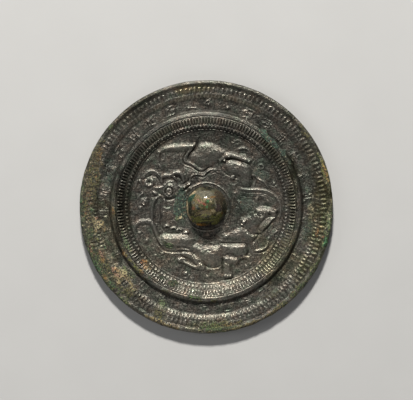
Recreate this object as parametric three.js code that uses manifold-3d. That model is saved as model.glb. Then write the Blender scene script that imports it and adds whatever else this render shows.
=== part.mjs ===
// Ancient bronze mirror: one round casting that lies on its polished face, decorated back up.
// Millimetres, +Z up. The knob stands at X = 0, Y = 0. The dragon fills the +Y half, the tiger the -Y half.

import * as THREE from 'three';
import { mergeVertices } from 'three/addons/utils/BufferGeometryUtils.js';
import Module from 'manifold-3d';

const wasm = await Module();
wasm.setup();

// The disc, and the widths of its zones from the edge inwards
const DISC_R = 70;
const BEVEL = 1.9;
const RIM_GROOVE = 0.4;
const RIM_FLAT = 1.3;
const SAW_BAND = 3.5;
const FINE_GAP = 0.5;
const FINE_BAND = 2.3;
const SCRIPT_BAND = 7.1;
const RIDGE_SLOPE = 2.6;
const RIDGE_TOP = 0.9;
const COMB_BAND = 3.5;
const BEAD_GAP = 1.1;
const BEAD_BAND = 1.6;
const FIELD_GAP = 0.9;

// Heights above the middle of the polished face
const EDGE_LOW_Z = 0.7;
const FIELD_Z = 2.8;
const SCRIPT_Z = 4;
const RIM_Z = 5.4;

// Steps between heights
const BEVEL_DROP = 0.9;
const RIDGE_RISE = 2.2;
const BEAD_RISE = 1.5;
const GROOVE_DEPTH = 0.25;

// A raised line is as wide to each side as it is high
const LINE_RISE = 0.3;

// The polished face is flat in the middle and slightly domed towards the edge
const FACE_FLAT_R = 40;

// Rows of radial teeth: how many, and how far a ridge stands above its gaps
const SAW_TEETH = 160;
const COMB_TEETH = 180;
const SAW_RELIEF = 0.5;
const COMB_RELIEF = 0.5;

// The knob is a dome with a raised line around its foot
const KNOB_R = 11.2;
const KNOB_RISE = 10.4;
const COLLAR_GAP = 2.1;

// The cord hole runs through the knob along Y, with a flat floor and a round top
const HOLE_WIDTH = 5.6;
const HOLE_HEIGHT = 5.4;
const HOLE_SILL = 0.3;

// Sides and steps of the round forms
const DISC_SIDES = 84;
const KNOB_SIDES = 28;
const KNOB_RINGS = 6;
const BOSS_SIDES = 8;
const LIMB_STEP = 4;
const LIMB_SECTION = [0, 45, 90, 135, 180];

// The beasts are drawn on a field of this radius and scaled to the real one.
// They are sunk a little into it.
const DRAWN_R = 42.4;
const SINK = 0.6;

// Places where the edge is worn back: degrees from +X, half width in degrees, and depth
const WORN = [
  { at: 197, half: 9, depth: 0.8 },
  { at: 92, half: 4, depth: 0.2 },
  { at: 130, half: 4, depth: 0.25 },
];

// Radii that follow from the widths
const BEVEL_R = DISC_R - BEVEL;
const RIM_OUTER_R = BEVEL_R - RIM_GROOVE;
const SAW_OUTER_R = RIM_OUTER_R - RIM_FLAT;
const SAW_INNER_R = SAW_OUTER_R - SAW_BAND;
const FINE_OUTER_R = SAW_INNER_R - FINE_GAP;
const FINE_INNER_R = FINE_OUTER_R - FINE_BAND;
const SCRIPT_INNER_R = FINE_INNER_R - SCRIPT_BAND;
const SHOULDER_R = SCRIPT_INNER_R - RIDGE_SLOPE;
const CREST_R = SHOULDER_R - RIDGE_TOP;
const COMB_INNER_R = CREST_R - COMB_BAND;
const BEAD_OUTER_R = COMB_INNER_R - BEAD_GAP;
const BEAD_INNER_R = BEAD_OUTER_R - BEAD_BAND;
const FIELD_R = BEAD_INNER_R - FIELD_GAP;
const COLLAR_R = KNOB_R + COLLAR_GAP;

// Heights that follow from the steps
const CREST_Z = SCRIPT_Z + RIDGE_RISE;
const BEAD_Z = FIELD_Z + BEAD_RISE;

// Skins a stack of closed rings. A ring of one point is a tip.
// Points run anticlockwise as seen from the end that the stack grows towards.
function skin(rings) {
  const positions = [];
  const index = [];
  const starts = [];
  for (const ring of rings) {
    starts.push(positions.length / 3);
    for (const point of ring) {
      positions.push(point.x, point.y, point.z);
    }
  }
  for (let k = 0; k + 1 < rings.length; k++) {
    const lower = rings[k].length;
    const upper = rings[k + 1].length;
    const lowerSteps = lower > 1 ? lower : 0;
    const upperSteps = upper > 1 ? upper : 0;
    let i = 0;
    let j = 0;
    while (i < lowerSteps || j < upperSteps) {
      const a = starts[k] + (i % lower);
      const b = starts[k + 1] + (j % upper);
      const nextLower = i < lowerSteps ? (i + 1) / lowerSteps : Infinity;
      const nextUpper = j < upperSteps ? (j + 1) / upperSteps : Infinity;
      if (nextLower <= nextUpper) {
        i++;
        index.push(a, starts[k] + (i % lower), b);
      } else {
        j++;
        index.push(a, starts[k + 1] + (j % upper), b);
      }
    }
  }
  const geometry = new THREE.BufferGeometry();
  geometry.setAttribute('position', new THREE.Float32BufferAttribute(positions, 3));
  geometry.setIndex(index);
  return geometry;
}

function toSolid(geometry) {
  const clean = geometry.clone();
  clean.deleteAttribute('normal');
  clean.deleteAttribute('uv');
  const welded = mergeVertices(clean, 1e-4);
  return new wasm.Manifold(new wasm.Mesh({
    numProp: 3,
    vertProperties: new Float32Array(welded.attributes.position.array),
    triVerts: new Uint32Array(welded.index.array),
  }));
}

function toGeometry(solid) {
  const mesh = solid.getMesh();
  const geometry = new THREE.BufferGeometry();
  geometry.setAttribute('position', new THREE.Float32BufferAttribute(mesh.vertProperties, 3));
  geometry.setIndex(new THREE.Uint32BufferAttribute(mesh.triVerts, 1));
  geometry.computeVertexNormals();
  return geometry;
}

// How far the edge is worn back at an angle
function wear(angle) {
  let depth = 0;
  for (const place of WORN) {
    const turn = THREE.MathUtils.euclideanModulo(THREE.MathUtils.radToDeg(angle) - place.at + 180, 360);
    const away = Math.abs(turn - 180) / place.half;
    if (away < 1) {
      depth += place.depth * (1 + Math.cos(Math.PI * away)) / 2;
    }
  }
  return depth;
}

// A circle about Z with every second point lowered by the relief. Worn circles follow the edge's wear.
function circle(radius, z, { sides = DISC_SIDES, relief = 0, worn = false } = {}) {
  const points = [];
  for (let i = 0; i < sides; i++) {
    const angle = 2 * Math.PI * i / sides;
    const r = worn ? radius - wear(angle) : radius;
    const drop = i % 2 ? relief : 0;
    points.push(new THREE.Vector3(r * Math.cos(angle), r * Math.sin(angle), z - drop));
  }
  return points;
}

// Two circles of ridges and gaps, from the outer radius to the inner one
function toothedBand(outerR, innerR, outerZ, innerZ, teeth, relief) {
  const options = { sides: 2 * teeth, relief };
  return [circle(outerR, outerZ, options), circle(innerR, innerZ, options)];
}

const tip = (x, y, z) => [new THREE.Vector3(x, y, z)];

// The disc from the middle of its polished face, up its edge and in over the bands to the knob's top
function discRings() {
  const round = { sides: KNOB_SIDES };
  const combInnerZ = BEAD_Z + 2 * LINE_RISE;
  const rings = [
    tip(0, 0, 0),
    circle(FACE_FLAT_R, 0),
    circle(DISC_R - EDGE_LOW_Z / 2, EDGE_LOW_Z / 2, { worn: true }),
    circle(DISC_R, EDGE_LOW_Z, { worn: true }),
    circle(DISC_R, RIM_Z - BEVEL_DROP, { worn: true }),
    circle(BEVEL_R, RIM_Z, { worn: true }),
    circle(BEVEL_R - RIM_GROOVE / 2, RIM_Z - GROOVE_DEPTH, { worn: true }),
    circle(RIM_OUTER_R, RIM_Z),
    ...toothedBand(SAW_OUTER_R, SAW_INNER_R, RIM_Z, RIM_Z - GROOVE_DEPTH, SAW_TEETH, SAW_RELIEF),
    circle(FINE_OUTER_R, RIM_Z - GROOVE_DEPTH),
    circle(FINE_INNER_R, SCRIPT_Z + LINE_RISE),
    circle(FINE_INNER_R - LINE_RISE, SCRIPT_Z),
    circle(SCRIPT_INNER_R, SCRIPT_Z),
    circle(SHOULDER_R, CREST_Z - LINE_RISE),
    circle(CREST_R + LINE_RISE, CREST_Z),
    ...toothedBand(CREST_R, COMB_INNER_R, CREST_Z - LINE_RISE, combInnerZ, COMB_TEETH, COMB_RELIEF),
    circle(COMB_INNER_R - BEAD_GAP / 2, BEAD_Z - GROOVE_DEPTH),
    circle(BEAD_OUTER_R, BEAD_Z),
    circle(BEAD_INNER_R, FIELD_Z + BEAD_RISE / 2),
    circle(FIELD_R + LINE_RISE, FIELD_Z + LINE_RISE),
    circle(FIELD_R, FIELD_Z),
    circle(COLLAR_R + LINE_RISE, FIELD_Z, round),
    circle(COLLAR_R, FIELD_Z + LINE_RISE, round),
    circle(COLLAR_R - LINE_RISE, FIELD_Z, round),
  ];
  for (let k = 0; k < KNOB_RINGS; k++) {
    const rise = Math.PI / 2 * k / KNOB_RINGS;
    rings.push(circle(KNOB_R * Math.cos(rise), FIELD_Z + KNOB_RISE * Math.sin(rise), round));
  }
  rings.push(tip(0, 0, FIELD_Z + KNOB_RISE));
  return rings;
}

const drawn = FIELD_R / DRAWN_R;

// A limb follows a smooth line through its joints. Half width runs from root through middle to end.
function limb(joints, [root, middle, end], rise) {
  const line = new THREE.CatmullRomCurve3(
    joints.map(([x, y]) => new THREE.Vector3(x * drawn, y * drawn, 0)),
  );
  const steps = THREE.MathUtils.clamp(Math.round(line.getLength() / LIMB_STEP), 3, 7);
  const low = FIELD_Z - SINK;
  const rings = [];
  for (let s = 0; s <= steps; s++) {
    const t = s / steps;
    const at = line.getPointAt(t);
    const along = line.getTangentAt(t);
    const half = drawn * (t < 0.5
      ? THREE.MathUtils.lerp(root, middle, 2 * t)
      : THREE.MathUtils.lerp(middle, end, 2 * t - 1));
    const isEnd = s === 0 || s === steps;
    const width = isEnd ? 0.6 * half : half;
    const height = isEnd ? 0.5 * rise : rise;
    rings.push(LIMB_SECTION.map((degrees) => {
      const angle = THREE.MathUtils.degToRad(degrees);
      const side = width * Math.cos(angle);
      return new THREE.Vector3(
        at.x - along.y * side,
        at.y + along.x * side,
        low + (SINK + height) * Math.sin(angle),
      );
    }));
  }
  const [first, last] = [line.getPoint(0), line.getPoint(1)];
  return skin([tip(first.x, first.y, low + 0.2), ...rings, tip(last.x, last.y, low + 0.2)]);
}

// A boss is a low dome
function boss(x, y, radius, rise) {
  const low = FIELD_Z - SINK;
  const ringAt = (part, z) => circle(part * radius, z, { sides: BOSS_SIDES });
  const dome = skin([
    tip(0, 0, low),
    ringAt(1, low),
    ringAt(0.75, FIELD_Z + 0.75 * rise),
    tip(0, 0, FIELD_Z + rise),
  ]);
  return dome.scale(drawn, drawn, 1).translate(x * drawn, y * drawn, 0);
}

// The dragon runs with its head low on the left and its tail on the right
const dragon = {
  limbs: [
    ['torso', [[-12.5, 29], [-6, 28.6], [1, 29.3], [7, 28.3], [12, 27]], [4, 6, 3.2], 2],
    ['stretched foreleg', [[-6, 32.7], [-13, 32.5], [-20, 31.7], [-25, 29.5], [-26, 27]], [2.4, 2.1, 1.2], 1.8],
    ['belly fold', [[-14, 26.5], [-11.5, 23.2], [-7, 21.8], [-2, 20]], [1, 1.1, 0.9], 1.1],
    ['thigh', [[7.5, 25.6], [12, 25], [17, 22.6], [21.5, 19.5]], [2, 4.9, 2.8], 2.1],
    ['hind shank', [[22, 20.5], [22.5, 16.5], [21.4, 11.4]], [2.4, 2.1, 1.8], 1.4],
    ['heel', [[24.5, 26], [26, 23.5], [26, 21]], [0.8, 0.9, 0.7], 0.9],
    ['tail', [[18, 10], [24, 9], [31, 8.9], [37, 6.3], [41, 1], [41.3, -4]], [1.3, 1.6, 1.2], 1.1],
    ['tail feather', [[26, 17.5], [30, 14.2], [34.5, 10.2]], [0.8, 1.1, 0.8], 0.9],
    ['wing curl', [[18, 30.2], [20, 31.9], [23, 31], [24.7, 28.4]], [1, 1.1, 0.9], 1.1],
    ['back curl', [[15, 35], [17, 36.8], [19.2, 35.8], [19, 33.6]], [0.7, 0.8, 0.7], 0.8],
    ['chest cloud', [[-10.5, 15.2], [-7, 18], [-2, 18.2], [2, 20.6]], [0.8, 1.1, 0.8], 1],
    ['horn', [[-35, 17.1], [-31, 19.4], [-27, 19], [-24.7, 14.3]], [0.9, 1.2, 0.9], 1.2],
    ['crest', [[-24.6, 16.6], [-21, 16.9], [-17.5, 18.9], [-13.4, 17], [-11.6, 13.4]], [0.9, 1.3, 0.9], 1.3],
    ['skull', [[-28, 8.6], [-22.5, 9], [-16.5, 10.8]], [2.2, 3.8, 2], 1],
    ['brow', [[-27.6, 10.2], [-23, 12.5], [-18, 13.6]], [0.8, 1, 0.8], 1.6],
    ['cheek', [[-15.5, 11], [-12, 11.2], [-9, 13.2]], [0.8, 0.9, 0.7], 1],
    ['beard', [[-9.4, 12.3], [-11.5, 9.2], [-13.4, 5.9]], [0.8, 0.9, 0.7], 1],
    ['claw', [[-38.8, 12.4], [-36.6, 13.6], [-35, 11]], [0.6, 0.8, 0.6], 0.8],
    ['forepaw', [[-29.8, -9], [-29.8, 0], [-27.6, 5.4], [-24.8, 5.6], [-23.4, 2.8]], [0.9, 1.2, 0.9], 1.1],
    ['paw line', [[-26, 1.6], [-26.2, -4], [-26, -9]], [0.6, 0.7, 0.6], 0.7],
  ],
  bosses: [
    ['eye', [-20.6, 8.7], 2.9, 1.8],
    ['nostril ring', [-31.8, 13.4], 2, 1],
    ['lip', [-28.4, 7.2], 1.7, 1.1],
    ['pearl', [-33.9, 2.7], 1.8, 1.1],
    ['small pearl', [-36.2, -0.8], 0.9, 0.6],
    ['crest knot', [-17.8, 16.3], 1.3, 0.9],
    ['flank curl', [4.5, 17], 2.6, 0.8],
    ['knee curl', [14.8, 15.6], 1.9, 0.8],
    ['hock bead', [30, 22], 1.5, 0.8],
    ['tail bead', [27.8, 4], 1, 0.7],
    ['edge bead', [34.2, 3], 0.9, 0.6],
  ],
};

// The tiger runs the other way, with its head at the right
const tiger = {
  limbs: [
    ['torso', [[-9, -23.5], [-3, -26], [4, -26.8], [10, -24.8]], [3.6, 5.9, 4.2], 1.9],
    ['neck', [[8, -20.5], [14, -16.5], [21, -11.6]], [3.4, 3.7, 3.6], 1.9],
    ['head', [[20.5, -9.4], [26, -6.6], [31, -3.9], [36.4, -2.3]], [3, 4.3, 1.9], 2.2],
    ['upper lip', [[38.2, -2.8], [37.6, -4.6], [34, -5.6], [31, -8]], [0.9, 1.1, 0.8], 1.7],
    ['lower jaw', [[36.3, -7], [33.5, -9.8], [30, -12.5]], [0.9, 1.2, 0.9], 1.5],
    ['mane', [[18.5, -10.2], [22, -11.8], [26, -14], [31.4, -14.4]], [0.8, 1, 0.8], 1.7],
    ['cheek fold', [[23, -15], [26.2, -16.3], [30, -15.2]], [0.8, 1, 0.8], 1.2],
    ['chest', [[29.6, -15.4], [28, -17.6], [25.6, -19.8]], [1.2, 1.6, 1], 1.2],
    ['foreleg', [[8.5, -22.8], [14, -23.8], [19.4, -24], [21.4, -27.6]], [3.2, 2.8, 1.8], 1.7],
    ['second foreleg', [[7, -30.2], [12, -30.2], [16.6, -30.1]], [2, 2.3, 1.5], 1.5],
    ['second shank', [[10.4, -31.4], [10.9, -35], [11.3, -38]], [1.7, 1.8, 1.4], 1.3],
    ['second paw', [[9, -38.5], [11.6, -38.3], [14.4, -38.6]], [0.9, 1.3, 0.9], 1.3],
    ['haunch', [[-25.5, -15.8], [-20, -17.6], [-13, -18.8], [-6, -21.4]], [2.8, 5.3, 4], 2.1],
    ['haunch outline', [[-30.8, -11], [-28, -17.5], [-24, -23.8], [-15, -24.5], [-5, -27]], [0.7, 0.9, 0.7], 1],
    ['hip ridge', [[-22.5, -10.7], [-16.5, -12.3], [-11, -15]], [0.9, 1.2, 0.9], 1.3],
    ['tail', [[-26.5, -18], [-28.6, -13], [-32, -8.9], [-36.6, -8.5], [-39.4, -13.6]], [1.1, 1.4, 1], 1.4],
    ['hind leg', [[-13, -25.2], [-8, -27.6], [-4, -31], [-1.6, -33.6]], [1.8, 2.1, 1.3], 1.3],
    ['hind foot', [[-2.4, -33.8], [-7.5, -32.6], [-14.4, -29.4]], [1.2, 1.3, 1.5], 1.2],
    ['belly curl', [[27.5, -24.2], [31, -23.9], [34.2, -21.4]], [0.7, 1, 0.7], 0.9],
    ['chin curl', [[35.4, -17.4], [37.2, -15.2], [39, -16.6]], [0.6, 0.8, 0.6], 0.7],
  ],
  bosses: [
    ['ear', [20.9, -8.7], 2.2, 2.6],
    ['eye', [29.4, -3.8], 2.7, 2.8],
    ['nose', [37, -2], 1.2, 2.2],
    ['forepaw', [20.3, -28.7], 2, 1.4],
    ['hind paw', [-14.6, -29.3], 1.8, 1.4],
    ['ground boss', [-12, -37.3], 2.2, 0.8],
    ['tail bead', [-24.2, -27.2], 0.9, 0.6],
    ['tail tip', [-37, -14.4], 0.9, 0.6],
    ['jaw bead', [31.5, -27], 0.9, 0.6],
  ],
};

function cordHole() {
  const half = HOLE_WIDTH / 2;
  const springing = HOLE_HEIGHT - half;
  const outline = new THREE.Shape();
  outline.moveTo(half, 0);
  outline.lineTo(half, springing);
  outline.absarc(0, springing, half, 0, Math.PI, false);
  outline.lineTo(-half, 0);
  const length = 2 * (KNOB_R + COLLAR_GAP / 2);
  const hole = new THREE.ExtrudeGeometry(outline, { depth: length, bevelEnabled: false, curveSegments: 5 });
  hole.translate(0, 0, -length / 2);
  hole.rotateX(Math.PI / 2);
  hole.translate(0, 0, FIELD_Z + HOLE_SILL);
  return hole;
}

let casting = toSolid(skin(discRings())).subtract(toSolid(cordHole()));
for (const beast of [dragon, tiger]) {
  for (const [, joints, widths, rise] of beast.limbs) {
    casting = casting.add(toSolid(limb(joints, widths, rise)));
  }
  for (const [, [x, y], radius, rise] of beast.bosses) {
    casting = casting.add(toSolid(boss(x, y, radius, rise)));
  }
}

const bronze = new THREE.MeshStandardMaterial({ color: 0x5a5649, roughness: 0.45, metalness: 0.9 });
const mirror = new THREE.Mesh(toGeometry(casting), bronze);
mirror.name = 'mirror';

const group = new THREE.Group();
group.name = 'bronze_mirror';
group.add(mirror);

export default group;
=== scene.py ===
# %% [markdown]
# An ancient bronze mirror, lying on its polished face with the decorated back up.
# It is one casting: a disc with toothed rings, a band of raised marks, a ridge, a sunken field
# with a dragon and a tiger, and a pierced knob in the middle.
# The whole back is one height map in millimetres, which a stack of rings turns into a mesh.
# A height map suits a cast relief, because nothing on it overhangs except the knob's cord hole.

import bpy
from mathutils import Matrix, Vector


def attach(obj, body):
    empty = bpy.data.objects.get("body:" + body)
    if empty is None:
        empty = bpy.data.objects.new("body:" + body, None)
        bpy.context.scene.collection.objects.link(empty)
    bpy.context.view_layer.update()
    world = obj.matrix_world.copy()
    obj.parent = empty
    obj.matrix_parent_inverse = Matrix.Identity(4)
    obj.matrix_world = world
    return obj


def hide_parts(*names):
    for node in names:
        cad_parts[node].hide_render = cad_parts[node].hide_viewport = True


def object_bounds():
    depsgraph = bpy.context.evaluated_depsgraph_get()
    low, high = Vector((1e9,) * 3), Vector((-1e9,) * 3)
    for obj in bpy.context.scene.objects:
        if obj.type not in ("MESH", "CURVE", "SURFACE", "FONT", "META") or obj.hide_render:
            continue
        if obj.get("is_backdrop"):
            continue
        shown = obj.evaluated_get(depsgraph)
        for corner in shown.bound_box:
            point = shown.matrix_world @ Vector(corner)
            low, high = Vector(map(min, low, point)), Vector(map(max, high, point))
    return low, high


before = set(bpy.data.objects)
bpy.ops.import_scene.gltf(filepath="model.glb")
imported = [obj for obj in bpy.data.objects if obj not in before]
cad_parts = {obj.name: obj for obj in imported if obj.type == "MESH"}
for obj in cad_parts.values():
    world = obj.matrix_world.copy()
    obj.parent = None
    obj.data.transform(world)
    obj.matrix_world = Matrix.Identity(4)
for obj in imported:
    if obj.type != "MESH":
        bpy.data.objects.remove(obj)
cad_box = [[float(v) for v in corner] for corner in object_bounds()]

import math

import bpy
import numpy as np
from mathutils import Vector

MM = 0.001
print("frame box in mm:", [[round(v / MM, 1) for v in corner] for corner in cad_box])

# %% [markdown]
# The sizes are those of the solid model, in millimetres.
# Radii run from the edge inwards, and heights are above the middle of the polished face.

# %% Sizes of the disc, its rings and the knob
DISC_R = 70
BEVEL_R = 68.1
SAW_OUTER_R, SAW_INNER_R = 66.4, 62.9
FINE_OUTER_R, FINE_INNER_R = 62.4, 60.1
SCRIPT_INNER_R = 53.0
CREST_R = 49.5
COMB_INNER_R = 46.0
LADDER_OUTER_R, LADDER_INNER_R = 44.9, 43.3
FIELD_R = 42.4
COLLAR_R, KNOB_R = 13.3, 11.2
FIELD_Z, SCRIPT_Z, RIM_Z = 2.8, 4.0, 5.4
CREST_Z, LADDER_Z = 6.2, 4.3
KNOB_RISE = 10.4
SAW_TEETH, FINE_TEETH, COMB_TEETH, RUNGS = 160, 190, 180, 134
print("disc", 2 * DISC_R, "mm across, knob", 2 * KNOB_R, "mm across and", KNOB_RISE, "mm high")

# %% [markdown]
# Nothing on old bronze is quite even. Value noise gives that unevenness: random numbers on a
# lattice, blended smoothly. Summed at several sizes it makes clouds, which break up edges,
# lower worn teeth and raise lumps of corrosion. A fixed seed gives the same mirror every time.

# %% Noise in millimetres
def ease(t):
    t = np.clip(t, 0, 1)
    return t * t * (3 - 2 * t)


def noise(x, y, size, seed):
    lattice = np.random.default_rng(seed).random((97, 97))
    u, v = np.asarray(x) / size + 500.3, np.asarray(y) / size + 500.7
    i, j = np.floor(u).astype(int), np.floor(v).astype(int)
    fu, fv = ease(u - i), ease(v - j)
    i, j, i1, j1 = i % 97, j % 97, (i + 1) % 97, (j + 1) % 97
    near = lattice[i, j] * (1 - fu) + lattice[i1, j] * fu
    far = lattice[i, j1] * (1 - fu) + lattice[i1, j1] * fu
    return near * (1 - fv) + far * fv


def clouds(x, y, size, seed, layers=4):
    total, weight = 0, 0
    for k in range(layers):
        total = total + noise(x, y, size / 2**k, seed + k) / 2**k
        weight += 1 / 2**k
    return total / weight


print("clouds at the knob:", round(float(clouds(0, 0, 6, 1)), 3))

# %% [markdown]
# The field's relief is drawn on a board, a fine grid over the sunken field.
# Forms such as bodies and legs keep the higher of two heights where they meet, as clay pressed
# into a mould would. Lines and grooves are added on top of the forms.

# %% The board and its drawing tools
CELL = 0.14
HALF = 43.4
ticks = np.arange(-HALF, HALF + CELL, CELL)
BOARD_X, BOARD_Y = np.meshgrid(ticks, ticks)
forms = np.zeros_like(BOARD_X)
lines = np.zeros_like(BOARD_X)


def curve(points, closed=False, step=0.5):
    """A smooth line through the points."""
    p = np.asarray(points, float)
    n = len(p)
    if closed:
        p = np.vstack([p[-1], p, p[0], p[1]])
        spans = n
    else:
        p = np.vstack([2 * p[0] - p[1], p, 2 * p[-1] - p[-2]])
        spans = n - 1
    out = []
    for k in range(spans):
        a, b, c, d = p[k:k + 4]
        m = max(2, int(np.hypot(*(c - b)) / step))
        t = (np.arange(m) / m)[:, None]
        out.append(0.5 * (2 * b + (c - a) * t + (2 * a - 5 * b + 4 * c - d) * t**2
                          + (3 * b - a - 3 * c + d) * t**3))
    out.append(p[-2:-1] if not closed else out[0][:1])
    return np.vstack(out)


def nearest(path, reach):
    """The cells near a path, their distance from it, how far along it they lie and how far above it."""
    low, high = path.min(0) - reach, path.max(0) + reach
    rows = slice(max(0, int((low[1] + HALF) / CELL)), int((high[1] + HALF) / CELL) + 2)
    cols = slice(max(0, int((low[0] + HALF) / CELL)), int((high[0] + HALF) / CELL) + 2)
    x, y = BOARD_X[rows, cols], BOARD_Y[rows, cols]
    best, along, above = np.full(x.shape, 1e9), np.zeros(x.shape), np.zeros(x.shape)
    s = np.r_[0, np.cumsum(np.hypot(*np.diff(path, axis=0).T))]
    s /= s[-1]
    for a, b, s0, s1 in zip(path, path[1:], s, s[1:]):
        d = b - a
        k = np.clip(((x - a[0]) * d[0] + (y - a[1]) * d[1]) / max(d @ d, 1e-12), 0, 1)
        away = np.hypot(x - a[0] - k * d[0], y - a[1] - k * d[1])
        closer = away < best
        best[closer] = away[closer]
        along[closer] = (s0 + (s1 - s0) * k)[closer]
        above[closer] = (y - a[1] - k * d[1])[closer]
    return rows, cols, best, along, above


def spread(values, along):
    values = np.atleast_1d(values).astype(float)
    return np.interp(along, np.linspace(0, 1, len(values)), values)


def limb(points, width, rise):
    """A round-backed form along a line. Width is the half width; both may change along it."""
    rows, cols, away, along, above = nearest(curve(points), np.max(width))
    u = np.clip(away / spread(width, along), 0, 1)
    lower = ease(0.5 - 0.7 * above / spread(width, along))
    high = spread(rise, along) * (1 - u * u) ** (0.55 + 0.75 * lower)
    forms[rows, cols] = np.maximum(forms[rows, cols], high)


def plate(points, rise, edge, crown=0.3, fade=0.55):
    """A form with that outline, rounded over a width from its edge and falling away downwards."""
    path = curve(points, closed=True)
    rows, cols, away, _, _ = nearest(path, 0.5)
    x, y = BOARD_X[rows, cols], BOARD_Y[rows, cols]
    inside = np.zeros(x.shape, bool)
    for (ax, ay), (bx, by) in zip(path, path[1:]):
        if ay != by:
            inside ^= ((ay > y) != (by > y)) & (x < (bx - ax) * (y - ay) / (by - ay) + ax)
    depth = np.where(inside, away, 0)
    u = 1 - np.clip(depth / (1.35 * edge), 0, 1)
    high = rise * (1 - u * u) ** 0.9 + crown * ease(depth / max(depth.max(), edge))
    top, bottom = path[:, 1].max(), path[:, 1].min()
    high *= 1 - fade * np.clip((top - 1.5 - y) / (top - bottom), 0, 1)
    forms[rows, cols] = np.maximum(forms[rows, cols], np.where(inside, high, 0))


def line(points, width, rise):
    """A thin raised line, or a groove where rise is negative."""
    rows, cols, away, along, _ = nearest(curve(points), np.max(width))
    lines[rows, cols] += spread(rise, along) * ease(1 - away / spread(width, along))


def bead(x, y, radius, rise):
    away = np.hypot(BOARD_X - x, BOARD_Y - y) / radius
    np.maximum(forms, rise * np.sqrt(np.clip(1 - away**2, 0, 1)), out=forms)


def loop(x, y, radius, width, rise, start=0, end=360):
    """A line on a circle, or a part of one, with angles anticlockwise from +X."""
    turns = np.radians(np.linspace(start, end, max(6, int(abs(end - start) / 15))))
    line(np.c_[x + radius * np.cos(turns), y + radius * np.sin(turns)], width, rise)


def lane(points, offset):
    """The same line moved sideways, to its left where the offset is positive."""
    path = curve(points, step=1.2)
    d = np.gradient(path, axis=0)
    d /= np.hypot(*d.T)[:, None]
    return path + offset * np.c_[-d[:, 1], d[:, 0]]


print("board of", forms.shape, "cells")

# %% [markdown]
# The dragon runs to the left over the top of the field. Its foreleg stretches out in front,
# its head hangs low at the left below a horn and a crest, and its tail sweeps down at the right.
# Legs and trunk are cast as soft bars, so their upper sides catch the light in long streaks.

# %% Dragon: trunk and legs
plate([(-4.8, 34.6), (-2.5, 35.5), (0.5, 35.6), (4, 34.9), (8, 32.6), (11, 30.2), (9.6, 27.8),
       (7.2, 25.4), (5.6, 23.8), (3, 22.6), (0.8, 22), (-1, 21.6), (-2.4, 21.4), (-3.8, 22.2),
       (-5.6, 23.7), (-7.5, 25.1), (-8.9, 26.6), (-9.2, 28.3), (-8.4, 29.8), (-7, 31), (-5.9, 32.4),
       (-5.2, 33.6)], 1.7, 2.2, 0.7, 0.6)
plate([(-5.7, 34.9), (-10, 35.1), (-15, 34.9), (-20, 34.4), (-23.6, 33.2), (-26.2, 31.2),
       (-27.2, 28.6), (-25.8, 28.6), (-23.5, 30.2), (-20, 30.5), (-15, 30.5), (-12, 30.8),
       (-10.8, 29.2), (-9.2, 29.8), (-7.9, 31), (-6.6, 32.4), (-5.8, 33.8)], 1.9, 1.5, 0.2, 0.8)
limb([(-26.4, 30), (-26.6, 27.6), (-25.8, 26)], [1.3, 1.0, 0.6], [1.4, 1.1, 0.7])
line([(-24.4, 29.8), (-23, 27.8), (-23.4, 26), (-24.6, 25.4)], 0.45, 0.45)
line([(-27.6, 28.4), (-27.2, 26), (-26, 23.2), (-24.4, 20.6)], 0.5, 0.4)
for shift in (0, -1.3, -2.6):
    line([(-12.6 + shift, 31), (-14.4 + shift, 28.4), (-15.2 + shift, 25.6)], 0.4, [0.45, 0.4, 0.2])
# the foreleg's upper end, a ribbon that bends round under the trunk
ribbon = [(-8.2, 31.8), (-9.7, 30.2), (-10.8, 28.4), (-11.5, 26.8), (-11.3, 25.4), (-9.8, 24.5),
          (-7.6, 23.5), (-5.6, 22), (-4, 20.9), (-2.5, 20.5), (-1.1, 21.1), (0.4, 22.2)]
limb(ribbon, [1, 1, 1, 1.15, 1.2, 1, 0.9, 0.8, 0.7, 0.6, 0.6, 0.5],
     [1.5, 1.3, 1.1, 1, 0.95, 0.95, 0.95, 0.9, 0.8, 0.7, 0.6, 0.5])
line(lane(ribbon[3:], 0.1), 0.34, -0.3)
line([(-9.9, 31.8), (-11.3, 29.8), (-12.6, 27.4), (-13, 25.6), (-12.2, 24), (-10.4, 23.1),
      (-8.2, 22.4), (-6.1, 21), (-4.3, 19.8), (-2.4, 19.4), (-0.7, 20.1), (0.9, 21.4), (3, 21.9)],
     0.5, -0.6)
line([(-13.8, 27), (-14, 25.2), (-12.9, 23.4), (-10.8, 22.3), (-8.5, 21.6), (-6.5, 20.3), (-4.6, 19),
      (-2.3, 18.6)], 0.45, 0.45)
line([(-5, 35), (-5.8, 32.9), (-7.3, 31.2), (-8.9, 29.6), (-9.8, 27.9), (-9.6, 26.3), (-8, 24.9),
      (-6.2, 23.5), (-4.2, 21.8)], [0.8, 1, 1, 0.9, 0.7, 0.5, 0.45, 0.45, 0.45],
     [-0.7, -0.8, -0.75, -0.6, -0.5, -0.4, -0.4, -0.4, -0.3])
line([(-3, 34.4), (0.5, 34.7), (4.2, 33.8), (7.8, 31.8)], 0.4, -0.35)
limb([(7.6, 25.6), (10.6, 28), (14, 28.3), (18.6, 27), (23.8, 25)], [1.2, 1.9, 1.7, 1.4, 1.1],
     [1.7, 2.2, 2.0, 1.7, 1.3])
plate([(11.6, 25.4), (14, 26), (17.4, 25.6), (20.8, 24.4), (24, 22.4), (25.2, 19), (25.3, 15),
       (24.8, 10.8), (21.8, 10.2), (19.4, 11.8), (19.6, 14.8), (17.8, 17), (13.6, 18), (10.8, 20.4),
       (9.6, 23.2)], 1.8, 2.0, 0.4, 0.65)
line([(10.6, 26), (13, 26.7), (16.4, 26.3), (19.6, 25.2), (22.4, 24.2)], 0.6, [-0.5, -0.5, -0.4, -0.2, 0])
line([(10.4, 29.4), (8.2, 27.4), (6.6, 25.2), (7.4, 22.4), (9.6, 19.2), (13.4, 17), (17.2, 16)], 0.6, -0.55)
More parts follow.
